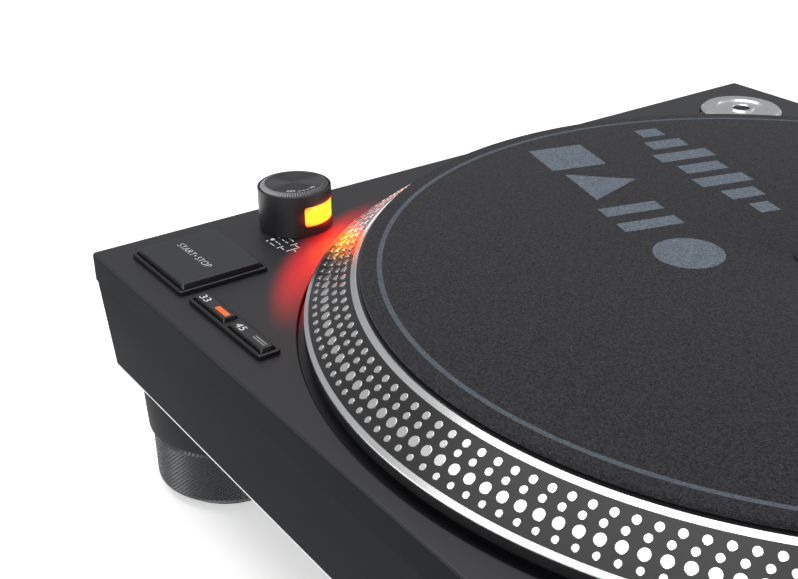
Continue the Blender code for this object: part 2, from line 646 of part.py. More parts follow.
def arm_bends():
    """Distance along the arm where its first bend starts, and the straight between the bends."""
    first_out = BEND_RADIUS * (1 - math.cos(BEND_ANGLE))
    second_out = BEND_RADIUS * (math.cos(OFFSET_ANGLE) - math.cos(BEND_ANGLE))
    end_out = SHELL_REACH * math.sin(OFFSET_ANGLE)
    straight = (end_out - first_out - second_out) / math.sin(BEND_ANGLE)
    end = EFFECTIVE_LENGTH - SHELL_REACH * math.cos(OFFSET_ANGLE)
    bends = BEND_RADIUS * (2 * math.sin(BEND_ANGLE) + math.sin(OFFSET_ANGLE))
    return end - bends - straight * math.cos(BEND_ANGLE), straight


def arm_route(start):
    """The arm tube's centre line from near its pivot to the headshell, as (along, outward)."""
    bend_start, straight = arm_bends()
    first = arc((bend_start, BEND_RADIUS), BEND_RADIUS, -math.pi / 2, BEND_ANGLE - math.pi / 2, 6)
    last = first[-1]
    turn_x = last[0] + straight * math.cos(BEND_ANGLE) + BEND_RADIUS * math.sin(BEND_ANGLE)
    turn_y = last[1] + straight * math.sin(BEND_ANGLE) - BEND_RADIUS * math.cos(BEND_ANGLE)
    quarter = math.pi / 2
    second = arc((turn_x, turn_y), BEND_RADIUS, quarter + BEND_ANGLE, quarter - OFFSET_ANGLE, 10)
    return [(start, 0)] + first + second


def build_tonearm_base():
    place = (*PIVOT, DECK_HEIGHT)
    bore = COLUMN_RADIUS + SLIDE_GAP
    profile = [
        (bore, GAP), (ARM_BASE_RADIUS, GAP), (ARM_BASE_RADIUS, ARM_BASE_FLANGE),
        (ARM_BASE_STEM, ARM_BASE_FLANGE), (ARM_BASE_STEM, ARM_BASE_RISE), (bore, ARM_BASE_RISE),
    ]
    make("tonearm_base", turned(profile, 36), ALUMINIUM, place)
    ring = tube(
        ARM_BASE_STEM + SLIDE_GAP, HEIGHT_RING_RADIUS, ARM_BASE_FLANGE + SLIDE_GAP,
        ARM_BASE_RISE - SLIDE_GAP, 36,
    )
    make("height_ring", ring, BLACK_PLASTIC, place)
    column = [
        (0, COLUMN_DEPTH_RISE), (COLUMN_RADIUS, COLUMN_DEPTH_RISE), (COLUMN_RADIUS, COLUMN_LOW_RISE),
        (COLUMN_PLATE, COLUMN_LOW_RISE), (COLUMN_PLATE, COLUMN_RISE), (0, COLUMN_RISE),
    ]
    pillar = make("arm_column", turned(column, 32), ALUMINIUM, place)
    pin_angle = LIFT_BAR_ANGLE
    pin = (LIFT_PIN_FROM_AXIS * math.cos(pin_angle), LIFT_PIN_FROM_AXIS * math.sin(pin_angle))
    hole = rod(LIFT_PIN + SLIDE_GAP, COLUMN_LOW_RISE - OVERCUT, COLUMN_RISE + OVERCUT, 16)
    combine(pillar, hole, "DIFFERENCE", (PIVOT[0] + pin[0], PIVOT[1] + pin[1], DECK_HEIGHT))
    x, y, rise = CUE_AXIS
    bracket = block(CUE_BRACKET[0], CUE_BRACKET[1], COLUMN_RISE - OVERCUT / 2, rise + CUE_BRACKET[1] / 2)
    bracket_x = x - SLIDE_GAP - CUE_BRACKET[0] / 2
    combine(pillar, bracket, "UNION", (PIVOT[0] + bracket_x, PIVOT[1] + y, DECK_HEIGHT))


def build_arm_controls():
    bar_top = ARM_RISE - ARM_TUBE - SLIDE_GAP
    bar = sector(
        LIFT_BAR_RADIUS - LIFT_BAR_WIDTH, LIFT_BAR_RADIUS, LIFT_BAR_ANGLE, LIFT_BAR_HALF,
        bar_top - LIFT_BAR_HEIGHT, bar_top, 10,
    )
    lift = make("lift_bar", bar, BLACK_PLASTIC, (*PIVOT, DECK_HEIGHT))
    pin = rod(LIFT_PIN, COLUMN_RISE + GAP, bar_top - LIFT_BAR_HEIGHT / 2, 16)
    along = (LIFT_PIN_FROM_AXIS * math.cos(LIFT_BAR_ANGLE), LIFT_PIN_FROM_AXIS * math.sin(LIFT_BAR_ANGLE))
    combine(lift, pin, "UNION", (PIVOT[0] + along[0], PIVOT[1] + along[1], DECK_HEIGHT))
    x, y, rise = CUE_AXIS
    axis = (PIVOT[0] + x, PIVOT[1] + y, DECK_HEIGHT + rise)
    hub = rod(CUE_HUB, 0, CUE_WIDTH, 20)
    lever = make("cue_lever", hub, BLACK_PLASTIC, axis, (0, math.pi / 2, 0))
    handle = block(CUE_WIDTH * 0.8, CUE_REACH, -CUE_WIDTH / 3, CUE_WIDTH / 3)
    bmesh.ops.translate(handle, verts=handle.verts, vec=(CUE_WIDTH / 2, -CUE_REACH / 2, 0))
    combine(lever, handle, "UNION", axis, (-CUE_TILT, 0, 0))
    skate = rod(SKATE_DIAL_RADIUS, COLUMN_RISE + GAP, COLUMN_RISE + SKATE_DIAL_HEIGHT, 24)
    place = (PIVOT[0] + SKATE_DIAL_AT[0], PIVOT[1] + SKATE_DIAL_AT[1], DECK_HEIGHT)
    make("anti_skate_dial", skate, BLACK_PLASTIC, place)


def build_arm():
    middle = arm_point(0, 0)
    opening = (FRAME_WIDTH - 2 * FRAME_BAR, FRAME_HEIGHT - 2 * FRAME_BAR)
    frame = block(FRAME_WIDTH, FRAME_DEPTH, -FRAME_HEIGHT / 2, FRAME_HEIGHT / 2)
    gimbal = make("gimbal_frame", frame, ALUMINIUM, middle)
    combine(gimbal, block(opening[0], 2 * FRAME_DEPTH, -opening[1] / 2, opening[1] / 2), "DIFFERENCE", middle)
    swivel = rod(SWIVEL_RADIUS, COLUMN_RISE + GAP - ARM_RISE, -FRAME_HEIGHT / 2 + FRAME_BAR / 2, 24)
    combine(gimbal, swivel, "UNION", middle)

    wide, deep, tall = BLOCK_SIZE
    pivot = make("arm_pivot_block", block(wide, deep, -tall / 2, tall / 2), ALUMINIUM, middle)
    axle_length = opening[0] - 2 * SLIDE_GAP
    quarter = (0, math.pi / 2, 0)
    axle = rod(AXLE_RADIUS, -axle_length / 2, axle_length / 2, 16)
    combine(pivot, axle, "UNION", middle, quarter)
    rear = rod(REAR_SHAFT, deep / 2 - OVERCUT, REAR_SHAFT_END, 20)
    combine(pivot, rear, "UNION", middle, (-math.pi / 2, 0, 0))

    route = arm_route(deep / 2 + GAP)
    curve = bpy.data.curves.new("arm_tube", "CURVE")
    curve.dimensions = "3D"
    curve.bevel_depth = ARM_TUBE
    curve.bevel_resolution = 3
    curve.use_fill_caps = True
    line = curve.splines.new("POLY")
    line.points.add(len(route) - 1)
    for point, (along, outward) in zip(line.points, route):
        point.co = (outward, -along, 0, 1)
    arm = bpy.data.objects.new("arm_tube", curve)
    arm.location = middle
    curve.materials.append(material("arm_tube", ALUMINIUM))
    bpy.context.scene.collection.objects.link(arm)

    weight = tube(REAR_SHAFT + SLIDE_GAP, WEIGHT_RADIUS, WEIGHT_FROM, WEIGHT_FROM + WEIGHT_LENGTH)
    make("counterweight", weight, STEEL, middle, (-math.pi / 2, 0, 0))
    ring_end = WEIGHT_FROM - SLIDE_GAP
    ring = tube(REAR_SHAFT + SLIDE_GAP, FORCE_RING_RADIUS, ring_end - FORCE_RING_LENGTH, ring_end)
    make("tracking_force_ring", ring, BLACK_PLASTIC, middle, (-math.pi / 2, 0, 0))


def build_headshell():
    """The headshell points along its own X, from the end of the arm tube to past the stylus."""
    end = arm_route(0)[-1]
    heading = -math.pi / 2 - OFFSET_ANGLE
    place = arm_point(end[0], end[1])
    turn = (0, 0, heading)
    radius, length = SHELL_COLLAR
    along_x = Matrix.Rotation(math.pi / 2, 4, "Y")

    collar = rod(radius, GAP, length, 24)
    bmesh.ops.transform(collar, matrix=along_x, verts=collar.verts)
    make("headshell_collar", collar, ALUMINIUM, place, turn)

    long, wide, thick = SHELL_SIZE
    start = length + GAP
    plate_long = long - SHELL_PLATE_FROM
    plate = block(plate_long, wide, -thick / 2, thick / 2)
    shift = (start + SHELL_PLATE_FROM + plate_long / 2, 0, 0)
    bmesh.ops.translate(plate, verts=plate.verts, vec=shift)
    shell = make("headshell", plate, ALUMINIUM, place, turn)
    neck = rod(SHELL_NECK, start, start + SHELL_NECK_LENGTH, 16)
    bmesh.ops.transform(neck, matrix=along_x, verts=neck.verts)
    combine(shell, neck, "UNION", place, turn)
    finger = block(*SHELL_FINGER, -thick / 2, thick / 4)
    reach = (start + long - FINGER_FROM_END, wide / 2 + SHELL_FINGER[1] * 0.4, 0)
    bmesh.ops.translate(finger, verts=finger.verts, vec=reach)
    combine(shell, finger, "UNION", place, turn)

    body_long, body_wide, body_tall = CARTRIDGE_SIZE
    under = -SHELL_NECK - GAP
    cartridge = block(body_long, body_wide, under - body_tall, under)
    middle = SHELL_REACH - CARTRIDGE_SETBACK
    bmesh.ops.translate(cartridge, verts=cartridge.verts, vec=(middle, 0, 0))
    body = make("cartridge", cartridge, BLACK_PLASTIC, place, turn)
    for side in (-1, 1):
        spacer = block(body_long * 0.6, SPACER_WIDTH, under - OVERCUT, -thick / 2 - GAP)
        shift = (middle + SPACER_WIDTH, side * (body_wide - SPACER_WIDTH - OVERCUT) / 2, 0)
        bmesh.ops.translate(spacer, verts=spacer.verts, vec=shift)
        combine(body, spacer, "UNION", place, turn)

    point_low = under - body_tall - STYLUS_DROP
    needle_top = under - body_tall - GAP
    needle_profile = [
        (0, point_low), (STYLUS_RADIUS, point_low + STYLUS_RADIUS), (STYLUS_RADIUS, needle_top),
        (0, needle_top),
    ]
    needle = turned(needle_profile, 12)
    bmesh.ops.translate(needle, verts=needle.verts, vec=(SHELL_REACH, 0, 0))
    make("stylus", needle, STEEL, place, turn)


def build_arm_rest():
    """A post with a shelf under the parked tube, and a lip beyond it that carries the clip."""
    x, y = PIVOT[0], PIVOT[1] - REST_FROM_PIVOT
    tube_low = ARM_RISE - ARM_TUBE - SLIDE_GAP
    lip_top = ARM_RISE + ARM_TUBE + SLIDE_GAP
    post = [
        (0, GAP), (REST_FOOT, GAP), (REST_FOOT, REST_POST), (REST_POST, 2 * REST_POST - OVERCUT),
        (REST_POST, tube_low), (0, tube_low),
    ]
    rest = make("arm_rest", turned(post, 20), BLACK_PLASTIC, (x, y, DECK_HEIGHT))
    reach = ARM_TUBE + SLIDE_GAP + REST_LIP
    shelf = block(2 * reach, REST_WIDTH, tube_low - REST_SHELF, tube_low)
    combine(rest, shelf, "UNION", (x, y, DECK_HEIGHT))
    lip = block(REST_LIP, REST_WIDTH, tube_low - REST_SHELF, lip_top)
    hinge_x = x + reach - REST_LIP / 2
    combine(rest, lip, "UNION", (hinge_x, y, DECK_HEIGHT))
    half = CLIP_THICKNESS / 2
    clip = block(CLIP_THICKNESS, REST_WIDTH * 0.7, -half, CLIP_LENGTH)
    make("arm_clip", clip, BLACK_PLASTIC, (hinge_x, y, DECK_HEIGHT + lip_top + GAP + half))


def build_rear_connections():
    wide, tall = INLET_SIZE[0] - 2 * GAP, INLET_SIZE[1] - 2 * GAP
    inset = BASE_INSET + BASE_TAPER
    deep = INLET_DEPTH - GAP - inset
    place = (LEFT + INLET_FROM_LEFT, BACK - inset - deep / 2, 0)
    low, high = CONNECTION_HEIGHT - tall / 2, CONNECTION_HEIGHT + tall / 2
    inlet = make("mains_inlet", block(wide, deep, low, high), BLACK_PLASTIC, place)
    mouth = round_rectangle(*INLET_MOUTH, INLET_MOUTH_CORNER)
    recess = slab(mouth, -OVERCUT, INLET_MOUTH_DEPTH)
    back = BACK - inset
    combine(inlet, recess, "DIFFERENCE", (place[0], back, CONNECTION_HEIGHT), (math.pi / 2, 0, 0))
    for side in (-1, 1):
        pin = rod(PIN_RADIUS, PIN_TIP, INLET_MOUTH_DEPTH + OVERCUT, 12)
        pin_place = (place[0] + side * PIN_SPACING / 2, back, CONNECTION_HEIGHT)
        combine(inlet, pin, "UNION", pin_place, (math.pi / 2, 0, 0))

    bay = RIGHT - SOCKET_BAY_FROM_RIGHT
    inner = BACK - SOCKET_BAY_DEPTH + GAP
    wide, tall = SOCKET_BAY[0] - 2 * GAP, SOCKET_BAY[1] - 2 * GAP
    thick = SOCKET_PANEL
    low, high = CONNECTION_HEIGHT - tall / 2, CONNECTION_HEIGHT + tall / 2
    panel = make("phono_sockets", block(wide, thick, low, high), STEEL, (bay, inner + thick / 2, 0))
    outward = (-math.pi / 2, 0, 0)
    for number in (0, 1):
        along = bay + SOCKETS_FROM_MIDDLE + (number - 0.5) * SOCKET_SPACING
        place = (along, inner + thick / 2, CONNECTION_HEIGHT)
        combine(panel, rod(SOCKET_RADIUS, 0, SOCKET_LENGTH, 20), "UNION", place, outward)
        bore = rod(SOCKET_BORE, thick, SOCKET_LENGTH + OVERCUT, 12)
        combine(panel, bore, "DIFFERENCE", place, outward)
    nut = rod(TERMINAL_RADIUS, thick + GAP, TERMINAL_LENGTH, 20)
    make("ground_terminal", nut, ALUMINIUM, (bay + TERMINAL_FROM_MIDDLE, inner, CONNECTION_HEIGHT), outward)


clear_scene()
build_top_cabinet()
build_base_cabinet()
build_feet()
build_platter()
build_keys()
build_dial()
build_electronics()
build_pitch_fader()
build_lamp()
build_adapter()
build_tonearm_base()
build_arm_controls()
build_arm()
build_headshell()
build_arm_rest()
build_rear_connections()
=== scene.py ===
import math

import bmesh
import bpy
from mathutils import Matrix, Quaternion, Vector


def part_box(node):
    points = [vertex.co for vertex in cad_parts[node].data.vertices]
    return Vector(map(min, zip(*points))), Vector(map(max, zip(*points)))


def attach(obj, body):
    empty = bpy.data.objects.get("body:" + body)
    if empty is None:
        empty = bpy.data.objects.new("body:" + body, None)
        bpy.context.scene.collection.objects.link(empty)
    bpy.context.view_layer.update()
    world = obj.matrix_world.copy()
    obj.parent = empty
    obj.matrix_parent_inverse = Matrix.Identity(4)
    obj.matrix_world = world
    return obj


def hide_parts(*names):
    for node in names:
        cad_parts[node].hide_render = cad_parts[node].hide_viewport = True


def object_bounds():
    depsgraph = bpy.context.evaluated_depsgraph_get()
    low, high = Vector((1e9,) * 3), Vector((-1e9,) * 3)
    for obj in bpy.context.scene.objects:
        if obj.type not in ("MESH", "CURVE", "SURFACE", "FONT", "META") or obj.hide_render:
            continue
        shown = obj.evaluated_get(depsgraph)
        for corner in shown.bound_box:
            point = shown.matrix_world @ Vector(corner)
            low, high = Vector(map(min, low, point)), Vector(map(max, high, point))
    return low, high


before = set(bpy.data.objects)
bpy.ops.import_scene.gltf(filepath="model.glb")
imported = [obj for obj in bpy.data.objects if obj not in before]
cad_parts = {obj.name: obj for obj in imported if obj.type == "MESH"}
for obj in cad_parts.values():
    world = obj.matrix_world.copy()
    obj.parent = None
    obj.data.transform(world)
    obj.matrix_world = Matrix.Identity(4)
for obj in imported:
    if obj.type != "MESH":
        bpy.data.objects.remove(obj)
cad_low, cad_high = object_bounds()

# Camera. It stands at the front right, a hand's length above the platter, and looks down across
# the front left corner: the keys, the power dial and the strobe dots on the platter's rim.
camera_azimuth = math.radians(54.83)
camera_elevation = math.radians(28.02)
camera_roll = math.radians(-0.46)
back = Vector((
    math.sin(camera_azimuth) * math.cos(camera_elevation),
    -math.cos(camera_azimuth) * math.cos(camera_elevation),
    math.sin(camera_elevation),
))
bpy.ops.object.camera_add(location=(0.18059, -0.31734, 0.28479))
camera = bpy.context.object
camera.rotation_mode = "QUATERNION"
camera.rotation_quaternion = (-back).to_track_quat("-Z", "Y") @ Quaternion((0, 0, 1), camera_roll)
camera.data.sensor_width = 36
camera.data.lens = 55.04
camera.data.shift_x = -0.0152
camera.data.shift_y = 0.0316
camera.data.clip_start = 0.01
bpy.context.scene.camera = camera

# Studio. A pale floor, four soft boxes, and a pale room that is dimmer towards the horizon, so
# that the polished dots grade from white to grey.
floor_size = 9.0
floor_drop = 0.0002


def shader_of(material):
    return material.node_tree.nodes["Principled BSDF"]


def new_material(name, colour, roughness, metallic=0.0, specular=0.5):
    made = bpy.data.materials.new(name)
    made.use_nodes = True
    shader = shader_of(made)
    shader.inputs["Base Color"].default_value = (*colour, 1)
    shader.inputs["Roughness"].default_value = roughness
    shader.inputs["Metallic"].default_value = metallic
    shader.inputs["Specular IOR Level"].default_value = specular
    return made


def light_up(material, colour, strength):
    """Lets a finish give off its own even light."""
    shader_of(material).inputs["Emission Color"].default_value = (*colour, 1)
    shader_of(material).inputs["Emission Strength"].default_value = strength


bpy.ops.mesh.primitive_plane_add(size=floor_size, location=(0, 0, -floor_drop))
floor = bpy.context.object
floor.name = "floor"
paper = new_material("floor_paper", (0.94, 0.94, 0.94), 0.9)
light_up(paper, (1, 1, 1), 0.42)
floor.data.materials.append(paper)

for box_name, place, size, watts, tint in (
    ("overhead_box", (-0.30, -0.05, 1.35), 1.40, 14.0, (1.0, 0.99, 0.97)),
    ("front_box", (0.32, -0.78, 0.30), 0.45, 3.0, (1.0, 1.0, 1.0)),
    ("right_box", (1.25, 0.25, 0.80), 0.80, 3.0, (0.97, 0.98, 1.0)),
    ("rear_box", (-0.30, 1.40, 0.95), 0.90, 2.2, (1.0, 1.0, 1.0)),
):
    bpy.ops.object.light_add(type="AREA", location=place)
    lamp = bpy.context.object
    lamp.name = box_name
    lamp.data.shape = "SQUARE"
    lamp.data.size = size
    lamp.data.energy = watts
    lamp.data.color = tint
    lamp.rotation_euler = (Vector(place) - Vector((0, 0, 0.06))).to_track_quat("Z", "Y").to_euler()

world = bpy.data.worlds.new("room")
world.use_nodes = True
bpy.context.scene.world = world
room = world.node_tree
room_light = room.nodes["Background"]
room_light.inputs["Strength"].default_value = 0.52


def add_node(tree, kind, sockets, **settings):
    """Adds a shader node. Each socket takes a constant, or another node's output to join to it."""
    made = tree.nodes.new("ShaderNode" + kind)
    for setting, value in settings.items():
        setattr(made, setting, value)
    for socket, value in sockets.items():
        if isinstance(value, bpy.types.NodeSocket):
            tree.links.new(value, made.inputs[socket])
        else:
            made.inputs[socket].default_value = value
    return made.outputs


def colour_ramp(tree, value, first, last, interpolation="LINEAR"):
    """Turns a value into a colour that goes from the first (position, colour) to the last."""
    made = tree.nodes.new("ShaderNodeValToRGB")
    made.color_ramp.interpolation = interpolation
    for element, (position, colour) in zip(made.color_ramp.elements, (first, last)):
        element.position = position
        element.color = (*colour, 1)
    tree.links.new(value, made.inputs["Fac"])
    return made.outputs["Color"]


toward = add_node(room, "TexCoord", {})["Generated"]
rising = add_node(room, "SeparateXYZ", {0: toward})["Z"]
room_colour = colour_ramp(room, rising, (0.0, (0.62, 0.63, 0.65)), (0.75, (0.95, 0.95, 0.95)))
room.links.new(room_colour, room_light.inputs["Color"])
bpy.context.scene.view_settings.view_transform = "Standard"

# Base cabinet. One heavy moulding in satin black that narrows a little towards the floor, with a
# thin bright edge underneath, pockets for what it holds and two bays in its rear wall.
cabinet_corner = 0.0015


def nothing_selected():
    if bpy.context.mode != "OBJECT":
        bpy.ops.object.mode_set(mode="OBJECT")
    bpy.ops.object.select_all(action="DESELECT")


def only(piece):
    """Selects this piece alone and makes it the active one."""
    nothing_selected()
    piece.select_set(True)
    bpy.context.view_layer.objects.active = piece


def settle(piece):
    """Puts the piece's place into its mesh, so that its object sits at the origin."""
    only(piece)
    bpy.ops.object.transform_apply(location=True, rotation=True, scale=True)
    return piece


def select_in_mesh(kind, wanted):
    """In edit mode, selects the vertices, edges or faces for which wanted() is true."""
    mesh = bpy.context.object.data
    shape = bmesh.from_edit_mesh(mesh)
    for item in [*shape.verts, *shape.edges, *shape.faces]:
        item.select = False
    for item in list(getattr(shape, kind)):
        if wanted(item):
            item.select_set(True)
    bmesh.update_edit_mesh(mesh)


def edit(piece, mode):
    only(piece)
    bpy.ops.object.mode_set(mode="EDIT")
    bpy.ops.mesh.select_mode(type=mode)


def leave_edit():
    bpy.ops.object.mode_set(mode="OBJECT")


def box_piece(name, low, high):
    """A block between two corners, as the start of a piece or of a cutter."""
    nothing_selected()
    middle = [(a + b) / 2 for a, b in zip(low, high)]
    bpy.ops.mesh.primitive_cube_add(size=1, location=middle)
    made = bpy.context.object
    made.name = name
    made.scale = [b - a for a, b in zip(low, high)]
    return settle(made)


def block(name, x, y, wide, deep, bottom, top):
    """The same, by its middle in plan, its width and depth, and its lower and upper heights."""
    return box_piece(name, (x - wide / 2, y - deep / 2, bottom), (x + wide / 2, y + deep / 2, top))


def upright(edge):
    a, b = (vert.co for vert in edge.verts)
    return abs(a.x - b.x) < 0.003 and abs(a.y - b.y) < 0.003 and abs(a.z - b.z) > 1e-4


def round_uprights(piece, radius, segments=6):
    edit(piece, "EDGE")
    select_in_mesh("edges", upright)
    bpy.ops.mesh.bevel(offset=radius, offset_type="OFFSET", segments=segments, profile=0.5)
    leave_edit()


def round_level(piece, height, radius, segments=3):
    """Rounds the sharp edges that lie flat at this height."""
    edit(piece, "EDGE")

    def sharp_at_height(edge):
        level = all(abs(vert.co.z - height) < 1e-6 for vert in edge.verts)
        return level and len(edge.link_faces) == 2 and edge.calc_face_angle() > 0.5

    select_in_mesh("edges", sharp_at_height)
    bpy.ops.mesh.bevel(offset=radius, offset_type="OFFSET", segments=segments, profile=0.5)
    leave_edit()


def use_modifier(piece, kind, **settings):
    only(piece)
    modifier = piece.modifiers.new(kind.title(), kind)
    for setting, value in settings.items():
        setattr(modifier, setting, value)
    bpy.ops.object.modifier_apply(modifier=modifier.name)


def cut(piece, cutter, operation="DIFFERENCE"):
    use_modifier(piece, "BOOLEAN", operation=operation, object=cutter, solver="EXACT")
    bpy.data.objects.remove(cutter)


def smooth(piece, degrees=35):
    only(piece)
    bpy.ops.object.shade_smooth_by_angle(angle=math.radians(degrees))
    return piece


def crisp(piece, degrees=35):
    """Smooth shading led by the large flat faces, so that rounded edges stay crisp."""
    smooth(piece, degrees)
    use_modifier(piece, "WEIGHTED_NORMAL", keep_sharp=True, weight=100)


def grained(name, colour, roughness, metallic=0.0, specular=0.5, grain=2500, depth=0.00001, vary=0.12):
    """A finish with a fine grain in its relief and a slow drift in its colour and gloss."""
    made = new_material(name, colour, roughness, metallic, specular)
    tree = made.node_tree
    place = add_node(tree, "TexCoord", {})["Object"]
    fine = add_node(tree, "TexNoise", {"Vector": place, "Scale": grain, "Detail": 2})["Fac"]
    slow = add_node(tree, "TexNoise", {"Vector": place, "Scale": 35, "Detail": 4})["Fac"]
    less, more = 1 - vary, 1 + vary
    darker = [c * less for c in colour]
    lighter = [min(1, c * more) for c in colour]
    gloss = {"Value": slow, "To Min": roughness * less, "To Max": roughness * more}
    relief = {"Strength": 0.35, "Distance": depth, "Height": fine}
    inputs = shader_of(made).inputs
    tree.links.new(add_node(tree, "MapRange", gloss)["Result"], inputs["Roughness"])
    tree.links.new(colour_ramp(tree, slow, (0, darker), (1, lighter)), inputs["Base Color"])
    tree.links.new(add_node(tree, "Bump", relief)["Normal"], inputs["Normal"])
    return made


def finish(piece, material, body, slot, *nodes):
    """Paints the piece, mounts it on its body, and lets it stand for its CAD nodes."""
    piece.data.materials.clear()
    piece.data.materials.append(material)
    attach(piece, body)
    if nodes:
        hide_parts(*nodes)
    return piece


base_satin = grained("base_satin", (0.0150, 0.0157, 0.0174), 0.55, specular=0.014, grain=3200, depth=0.00002)
low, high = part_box("base_cabinet")
base = box_piece("base_moulding", low, high)
base_taper = 0.0023
edit(base, "FACE")
select_in_mesh("faces", lambda face: face.normal.z < -0.9)
narrower = [1 - 2 * base_taper / (b - a) for a, b in zip(low, high)]
bpy.ops.transform.resize(value=(narrower[0], narrower[1], 1), center_override=(0, 0, low.z))
leave_edit()
round_uprights(base, cabinet_corner, 8)
round_level(base, low.z, 0.0009, 3)
round_level(base, high.z, 0.0003, 2)
pocket_play = 0.0015
for held in (
    "main_circuit_board", "power_supply", "key_circuit_board", "pitch_fader_track",
    "spindle_bearing", "stylus_lamp",
):
    held_low, held_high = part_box(held)
    pocket_low = [v - pocket_play for v in held_low]
    pocket_low[2] = max(pocket_low[2], low.z + 0.004)
    pocket_high = [held_high.x + pocket_play, held_high.y + pocket_play, high.z + 0.001]
    cut(base, box_piece("pocket", pocket_low, pocket_high))
bay_play = 0.0003
for held, depth in (("mains_inlet", 0.0200), ("phono_sockets", 0.0160)):
    held_low, held_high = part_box(held)
    bay_low = (held_low.x - bay_play, high.y - depth, held_low.z - bay_play)
    bay_high = (held_high.x + bay_play, high.y + 0.001, held_high.z + bay_play)
    cut(base, box_piece("bay", bay_low, bay_high))
crisp(base)
finish(base, base_satin, "cabinet", "base_black", "base_cabinet")

# Lower edge trim. A thin strip set flush round the base's lower edge. It shows as a fine bright
# line where the moulding ends.
trim_low, trim_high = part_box("base_cabinet")
trim_inset, trim_height, trim_depth = base_taper - 0.0001, 0.0005, 0.0030


def ring_of_box(name, inset, depth, bottom, top):
    """A flat square ring round the base: its outer wall stands in by inset, and it is depth wide."""
    made = box_piece(name, (trim_low.x + inset, trim_low.y + inset, bottom),
                     (trim_high.x - inset, trim_high.y - inset, top))
    round_uprights(made, cabinet_corner, 6)
    reach = inset + depth
    cut(made, box_piece("inner", (trim_low.x + reach, trim_low.y + reach, bottom - 0.001),
                        (trim_high.x - reach, trim_high.y - reach, top + 0.001)))
    return smooth(made)


trim = ring_of_box("base_edge_trim", trim_inset, trim_depth, trim_low.z - 0.0001, trim_low.z + trim_height)
trim_metal = grained("trim_metal", (0.70, 0.71, 0.73), 0.35, metallic=1.0, grain=1800)
finish(trim, trim_metal, "cabinet", "cast_aluminium")
cut(base, ring_of_box("rebate", trim_inset - 0.001, trim_depth + 0.0011, trim_low.z - 0.0010,
                      trim_low.z + trim_height + 0.00002))

# Deck. The cast upper half of the cabinet, powder coated satin black: a softly rounded top edge, a
# shallow well for the platter with a broken lip, and the holes for keys, dial, lamp and fader.
deck_paint = grained("deck_paint", (0.0175, 0.018, 0.021), 0.42, specular=0.34, grain=2600, depth=0.00002)
low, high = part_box("top_cabinet")
deck_top = high.z
deck_bottom = low.z
deck = box_piece("deck_casting", low, high)
round_uprights(deck, cabinet_corner, 8)
round_level(deck, high.z, 0.0010, 4)
round_level(deck, low.z, 0.0003, 2)

platter_low, platter_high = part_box("platter")
platter_x = (platter_low.x + platter_high.x) / 2
platter_y = (platter_low.y + platter_high.y) / 2
platter_radius = (platter_high.x - platter_low.x) / 2
overcut = 0.001


def middle_of(node):
    a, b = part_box(node)
    return (a + b) / 2


def rounded_outline(points, radius, closed=True):
    """The same outline with its corners replaced by arcs; an open one keeps its two ends."""
    steps = 3
    made = []
    for number, corner in enumerate(points):
        here = Vector(corner)
        if not closed and number in (0, len(points) - 1):
            made.append(here)
            continue
        before = Vector(points[number - 1]) - here
        after = Vector(points[(number + 1) % len(points)]) - here
        reach = min(radius, before.length / 2.2, after.length / 2.2)
        start, end = here + before.normalized() * reach, here + after.normalized() * reach
        for step in range(steps + 1):
            share = step / steps
            made.append(start.lerp(here, share).lerp(here.lerp(end, share), share))
    return made


def turned(name, outline, centre, steps=64, axis=(0, 0, 1)):
    """An outline of (radius, height) points spun about an axis through the centre.

    It starts as one point that is extruded along the outline. Ends on the axis close themselves.
    """
    nothing_selected()
    along = Vector(axis).normalized()
    across = Vector((1, 0, 0)) if abs(along.x) < 0.5 else Vector((0, 1, 0))
    across = (across - along * across.dot(along)).normalized()
    centre = Vector(centre)
    places = [centre + across * r + along * h for r, h in outline]
    if outline[0][0] > 1e-7 or outline[-1][0] > 1e-7:
        places.append(places[0])
    bpy.ops.mesh.primitive_plane_add(size=0.001, location=(0, 0, 0))
    made = bpy.context.object
    made.name = name
    bpy.ops.object.mode_set(mode="EDIT")
    bpy.ops.mesh.select_mode(type="VERT")
    bpy.ops.mesh.select_all(action="SELECT")
    bpy.ops.mesh.merge(type="CENTER")
    bpy.ops.transform.translate(value=places[0])
    for start, end in zip(places, places[1:]):
        bpy.ops.mesh.extrude_vertices_move(TRANSFORM_OT_translate={"value": end - start})
    bpy.ops.mesh.select_all(action="SELECT")
    bpy.ops.mesh.remove_doubles(threshold=1e-7)
    bpy.ops.mesh.select_all(action="SELECT")
    bpy.ops.mesh.spin(steps=steps, angle=math.tau, center=centre, axis=along)
    bpy.ops.mesh.select_all(action="SELECT")
    bpy.ops.mesh.remove_doubles(threshold=1e-6)
    bpy.ops.mesh.normals_make_consistent(inside=False)
    leave_edit()
    return smooth(made)


def round_hole(place, radius, bottom, top):
    """A cutter for a round hole whose upper lip is slightly broken."""
    lip = 0.0002
    outline = [
        (0, bottom), (radius, bottom), (radius, top - lip), (radius + 2 * lip, top + lip), (0, top + lip),
    ]
    return turned("hole", outline, (place.x, place.y, 0), 48)


